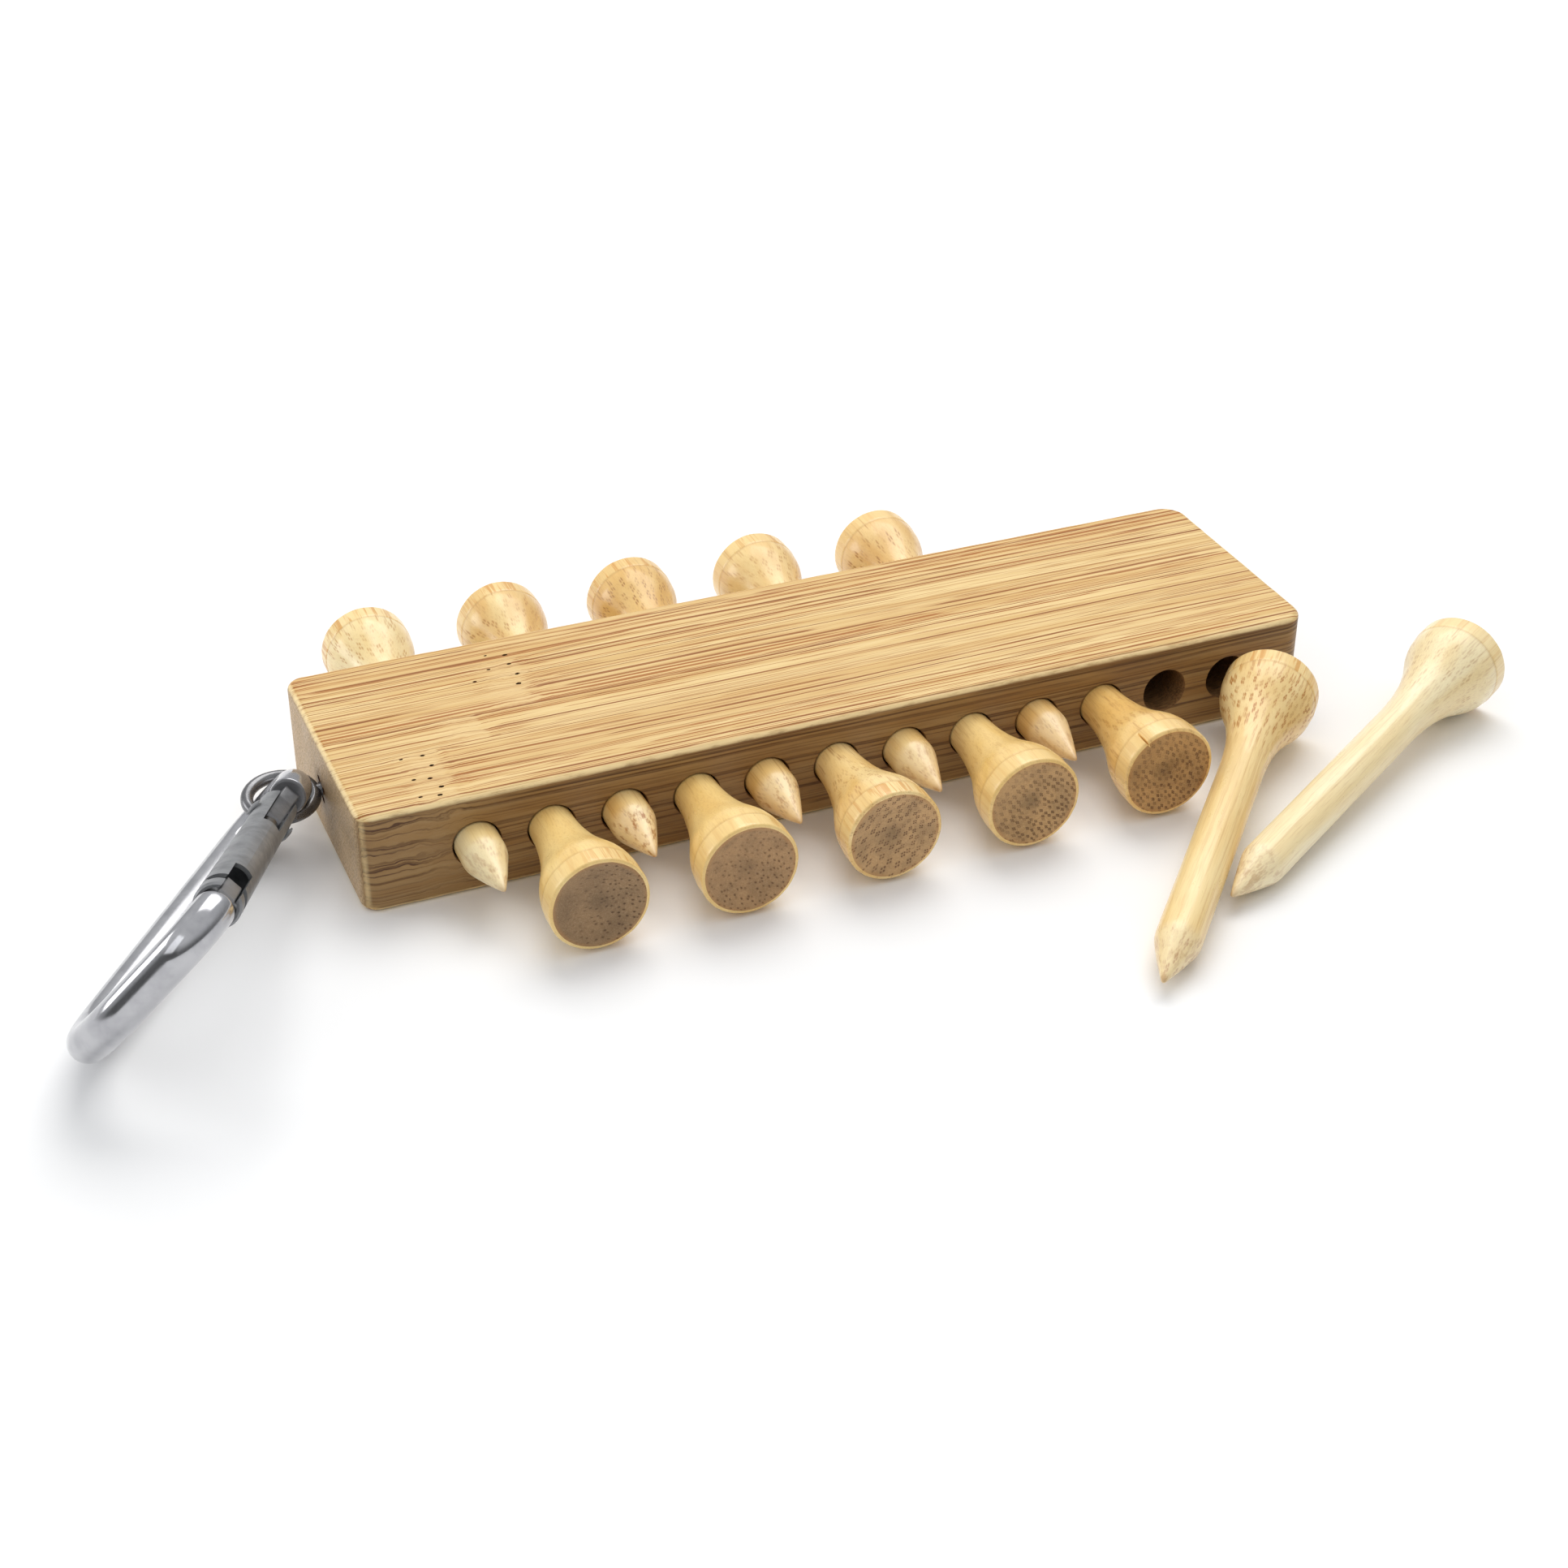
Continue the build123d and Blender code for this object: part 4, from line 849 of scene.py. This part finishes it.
def build_rod():
    """The hook's rod with rounded shoulders and two flattened tongues that reach into the gate."""
    hd, cl, ln = math.radians(-126.2), math.radians(1.55), math.radians(41.0)
    a = Vector((math.cos(cl) * math.cos(hd), math.cos(cl) * math.sin(hd), math.sin(cl)))
    side = Vector((0, 0, 1)).cross(a).normalized()
    b = a.cross(side) * math.cos(ln) + side * math.sin(ln)
    n = a.cross(b)
    rb, spine, rw, r = 5.1, 31.4, 9.5, 2.0
    origin = Vector((-61.55, 0.87, 5.84)) - b * rb
    ga, la = math.radians(21.6), math.radians(16.5)
    cg, sg = math.cos(ga), math.sin(ga)
    gate, glen, latch, pivot = (7.00, 9.75), 34.0, 31.7, 5.0
    nose, rc = (42.6, 23.8), 4.3

    def along_gate(p):
        return (p[0] - gate[0]) * cg + (p[1] - gate[1]) * sg

    pts = []

    def line(p, q, step=1.2):
        m = max(2, int(math.hypot(q[0] - p[0], q[1] - p[1]) / step))
        for i in range(m):
            pts.append((p[0] + (q[0] - p[0]) * i / m, p[1] + (q[1] - p[1]) * i / m))

    def arc(c, rad, a0, a1, step=0.42):
        m = max(4, int(abs(a1 - a0) * rad / step))
        for i in range(m):
            t = a0 + (a1 - a0) * i / m
            pts.append((c[0] + rad * math.cos(t), c[1] + rad * math.sin(t)))

    n_end = (rb * (1 - math.sin(la)), rb * (1 + math.cos(la)))
    k = (-1.08 - along_gate(n_end)) / (math.cos(la) * cg + math.sin(la) * sg)
    line((n_end[0] + k * math.cos(la), n_end[1] + k * math.sin(la)), n_end, 0.35)
    arc((rb, rb), rb, math.pi / 2 + la, 1.5 * math.pi)
    line((rb, 0), (rb + spine, 0))
    wc = (rb + spine, rw)
    wx, wy = wc[0] - nose[0], wc[1] - nose[1]
    wd = math.hypot(wx, wy)
    sweep = math.atan2(wy, wx) + math.asin(rw / wd) + math.pi
    tl = math.sqrt(wd * wd - rw * rw)
    turn = math.pi + ga - sweep
    trim = rc * math.tan(turn / 2)
    arc(wc, rw, -math.pi / 2, -math.pi / 2 + sweep)
    w_end = (wc[0] + rw * math.sin(sweep), wc[1] - rw * math.cos(sweep))
    l_end = (w_end[0] + (tl - trim) * math.cos(sweep), w_end[1] + (tl - trim) * math.sin(sweep))
    line(w_end, l_end)
    cc = (l_end[0] - rc * math.sin(sweep), l_end[1] + rc * math.cos(sweep))
    a0 = sweep - math.pi / 2
    m = 200
    last = None
    for i in range(m + 1):
        t = a0 + turn * i / m
        q = (cc[0] + rc * math.cos(t), cc[1] + rc * math.sin(t))
        if along_gate(q) < glen + 0.30:
            break
        if last is None or math.hypot(q[0] - last[0], q[1] - last[1]) > 0.22:
            pts.append(q)
            last = q
    P = np.array(pts)
    seg_len = np.r_[0, np.cumsum(np.hypot(*np.diff(P, axis=0).T))]
    total = seg_len[-1]
    tan = np.gradient(P, seg_len, axis=0)
    tan /= np.linalg.norm(tan, axis=1)[:, None]
    # extra rings for the rounded shoulders
    dome = 0.42
    keep = (seg_len > dome) & (seg_len < total - dome)
    where = [dome * (1 - math.cos(math.pi / 2 * i / 7)) for i in range(0, 8)]
    stations = where + list(seg_len[keep]) + [total - w for w in reversed(where)]
    seg = 64
    verts, faces = [], []
    for d in stations:
        u = float(np.interp(d, seg_len, P[:, 0])); v = float(np.interp(d, seg_len, P[:, 1]))
        tx = float(np.interp(d, seg_len, tan[:, 0])); ty = float(np.interp(d, seg_len, tan[:, 1]))
        h = math.hypot(tx, ty); tx, ty = tx / h, ty / h
        e = min(d, total - d)
        q = max(0.0, 1 - e / dome)
        rr = r * (0.80 + 0.20 * math.sqrt(max(0.0, 1 - q * q))) - 0.004
        c = origin + a * u + b * v
        across = a * (-ty) + b * tx
        for i in range(seg):
            t = 2 * math.pi * i / seg
            verts.append((c + (across * math.cos(t) + n * math.sin(t)) * rr) * MM)
    m = len(stations)
    for i in range(m - 1):
        for j in range(seg):
            k = (j + 1) % seg
            faces.append((i * seg + j, i * seg + k, (i + 1) * seg + k, (i + 1) * seg + j))
    faces.append(tuple(reversed(range(seg))))
    faces.append(tuple((m - 1) * seg + j for j in range(seg)))
    rod = new_object("carabiner_rod_polished", verts, faces)
    bm = bmesh.new(); bm.from_mesh(rod.data)
    bmesh.ops.recalc_face_normals(bm, faces=bm.faces[:])
    bm.to_mesh(rod.data); bm.free()

    def tongue(name, outline, half=0.91, round_off=0.16):
        vs, fs = [], []
        m = len(outline)
        for w in (-half, half):
            for s, t in outline:
                u, v = gate[0] + s * cg - t * sg, gate[1] + s * sg + t * cg
                vs.append((origin + a * u + b * v + n * w) * MM)
        fs.append(tuple(range(m))); fs.append(tuple(reversed(range(m, 2 * m))))
        for i in range(m):
            j = (i + 1) % m
            fs.append((j, i, m + i, m + j))
        ob = new_object(name, vs, fs)
        bm = bmesh.new(); bm.from_mesh(ob.data)
        bmesh.ops.recalc_face_normals(bm, faces=bm.faces[:])
        bmesh.ops.bevel(bm, geom=bm.edges[:], offset=round_off * MM, segments=3, profile=0.5, affect="EDGES", clamp_overlap=True)
        bm.to_mesh(ob.data); bm.free()
        return ob

    pivot_tongue = tongue("pivot_tongue", [
        (-1.9, -0.2), (-1.9, 2.3), (-0.6, 2.2), (0.9, 1.5), (pivot + 1.4, 1.18), (pivot + 1.95, 0.75), (pivot + 1.95, -0.75),
        (pivot + 1.6, -1.12), (pivot - 1.0, -1.22), (0.4, -0.88), (-0.9, -0.35)])
    nose_tongue = tongue("nose_tongue", [
        (glen + 1.9, -1.9), (glen + 1.9, 1.2), (glen + 0.3, 1.62), (glen - 0.6, 1.62), (latch - 1.4, 1.58), (latch - 2.0, 0.70), (latch - 2.9, 0.60), (latch - 3.05, -0.90),
        (latch - 2.7, -1.16), (glen - 0.9, -1.26), (glen + 0.3, -1.56)])
    rod.data.materials.append(rod_metal)
    rod.data.materials.append(tongue_metal)
    for cut in (pivot_tongue, nose_tongue):
        cut.data.materials.append(tongue_metal)
        mod = rod.modifiers.new("join", "BOOLEAN")
        mod.operation, mod.object, mod.solver = "UNION", cut, "EXACT"
        if hasattr(mod, "material_mode"):
            mod.material_mode = "TRANSFER"
    apply_modifiers(rod)
    for cut in (pivot_tongue, nose_tongue):
        old = cut.data
        bpy.data.objects.remove(cut)
        bpy.data.meshes.remove(old)
    # the cut ends that face the gate are dull like the tongues
    gdir = (a * cg + b * sg).normalized()
    for poly in rod.data.polygons:
        c = poly.center / MM - origin
        along = (c.dot(a) - gate[0]) * cg + (c.dot(b) - gate[1]) * sg
        facing = poly.normal.dot(gdir)
        if (facing < -0.55 and glen - 0.6 < along < glen + 1.2) or (facing > 0.55 and -1.6 < along < 0.6):
            poly.material_index = 1
    sharpen(rod, 42)
    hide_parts("carabiner_body")
    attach(rod, "carabiner")


build_rod()


def build_spring():
    """The coil spring in the gate."""
    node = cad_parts["gate_spring"]
    data = node.data.copy()
    data.transform(node.matrix_world)
    coil = bpy.data.objects.new("gate_spring_coil", data)
    bpy.context.scene.collection.objects.link(coil)
    data.materials.clear()
    data.materials.append(spring_metal)
    sharpen(coil, 40)
    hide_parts("gate_spring")
    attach(coil, "gate")
    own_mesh(coil)


build_spring()


# ---------------------------------------------------------------------------
# stage, light and camera
# ---------------------------------------------------------------------------
floor = new_object("studio_floor", [(-3, -3, 0), (3, -3, 0), (3, 3, 0), (-3, 3, 0)], [(0, 1, 2, 3)])
floor.location.z = -0.00002
t = Tree("pale_floor")
g = t.noise(t.mm(), 0.05, 3.0, 0.5)
floor.data.materials.append(t.shader(color=t.mix(g, srgb(250, 250, 250), srgb(248, 248, 249)), rough=0.85, spec=0.1))

world = bpy.data.worlds.new("studio")
bpy.context.scene.world = world
world.use_nodes = True
wt = world.node_tree
wt.nodes.clear()
tc = wt.nodes.new("ShaderNodeTexCoord")
sp = wt.nodes.new("ShaderNodeSeparateXYZ")
wt.links.new(tc.outputs["Generated"], sp.inputs[0])
mr = wt.nodes.new("ShaderNodeMapRange")
mr.inputs[1].default_value, mr.inputs[2].default_value = -0.9, 0.9
mr.inputs[3].default_value, mr.inputs[4].default_value = 0.08, 0.52
wt.links.new(sp.outputs[1], mr.inputs[0])
hr = wt.nodes.new("ShaderNodeMapRange")
hr.interpolation_type = "SMOOTHSTEP"
hr.inputs[1].default_value, hr.inputs[2].default_value = 0.10, 0.62
wt.links.new(sp.outputs[2], hr.inputs[0])
mx = wt.nodes.new("ShaderNodeMix")
mx.data_type = "FLOAT"
mx.inputs[3].default_value = 0.74
wt.links.new(hr.outputs[0], mx.inputs[0])
wt.links.new(mr.outputs[0], mx.inputs[2])


def lobe(direction, inner, outer, amount, base):
    """base + amount inside a soft cone round a direction."""
    dot = wt.nodes.new("ShaderNodeVectorMath")
    dot.operation = "DOT_PRODUCT"
    wt.links.new(tc.outputs["Generated"], dot.inputs[0])
    dot.inputs[1].default_value = Vector(direction).normalized()
    rg = wt.nodes.new("ShaderNodeMapRange")
    rg.interpolation_type = "SMOOTHSTEP"
    rg.inputs[1].default_value, rg.inputs[2].default_value = outer, inner
    rg.inputs[3].default_value, rg.inputs[4].default_value = 0.0, amount
    wt.links.new(dot.outputs["Value"], rg.inputs[0])
    ad = wt.nodes.new("ShaderNodeMath")
    ad.operation = "ADD"
    wt.links.new(base, ad.inputs[0])
    wt.links.new(rg.outputs[0], ad.inputs[1])
    ad.use_clamp = False
    mxm = wt.nodes.new("ShaderNodeMath")
    mxm.operation = "MAXIMUM"
    mxm.inputs[1].default_value = 0.03
    wt.links.new(ad.outputs[0], mxm.inputs[0])
    return mxm.outputs[0]


level = lobe((-0.90, -0.42, 0.10), 0.985, 0.80, -0.40, mx.outputs[0])
bg = wt.nodes.new("ShaderNodeBackground")
bg.inputs[0].default_value = (0.97, 0.985, 1.0, 1)
wt.links.new(level, bg.inputs[1])
wo = wt.nodes.new("ShaderNodeOutputWorld")
wt.links.new(bg.outputs[0], wo.inputs[0])


def area(name, loc, target, size, power, colour=(1, 1, 1)):
    li = bpy.data.lights.new(name, "AREA")
    li.shape, li.size, li.size_y, li.energy, li.color = "RECTANGLE", size[0], size[1], power, colour
    ob = bpy.data.objects.new(name, li)
    bpy.context.scene.collection.objects.link(ob)
    ob.location = loc
    ob.rotation_mode = "QUATERNION"
    ob.rotation_quaternion = (Vector(target) - Vector(loc)).to_track_quat("-Z", "Y")
    return ob


area("key", (0.25, 0.35, 0.75), (0, 0, 0), (0.75, 0.55), 4.3, (1.0, 0.985, 0.96))
area("fill", (-0.7, -0.3, 0.5), (0, 0, 0), (0.5, 0.5), 0.8, (0.97, 0.985, 1.0))
strip = area("strip", (-0.86, 0.52, 0.30), (-0.06, -0.02, 0.01), (0.42, 0.34), 2.0, (1.0, 1.0, 1.0))
strip.visible_camera = False

cam_data = bpy.data.cameras.new("camera")
cam_data.sensor_width = 36.0
cam_data.lens = 60.79
cam_data.clip_start, cam_data.clip_end = 0.01, 20.0
cam = bpy.data.objects.new("camera", cam_data)
bpy.context.scene.collection.objects.link(cam)
az, el, roll = math.radians(-22.65), math.radians(32.605), math.radians(0.083)
back = Vector((math.sin(az) * math.cos(el), -math.cos(az) * math.cos(el), math.sin(el)))
right = (-back).cross(Vector((0, 0, 1))).normalized()
up = right.cross(-back)
r2 = right * math.cos(roll) + up * math.sin(roll)
u2 = -right * math.sin(roll) + up * math.cos(roll)
cam.matrix_world = frame_matrix((-103.8485, -242.2318, 161.8380), r2, u2, back)
bpy.context.scene.camera = cam
bpy.context.scene.view_settings.view_transform = "Standard"
bpy.context.scene.view_settings.look = "None"
bpy.context.scene.view_settings.exposure = 0.0
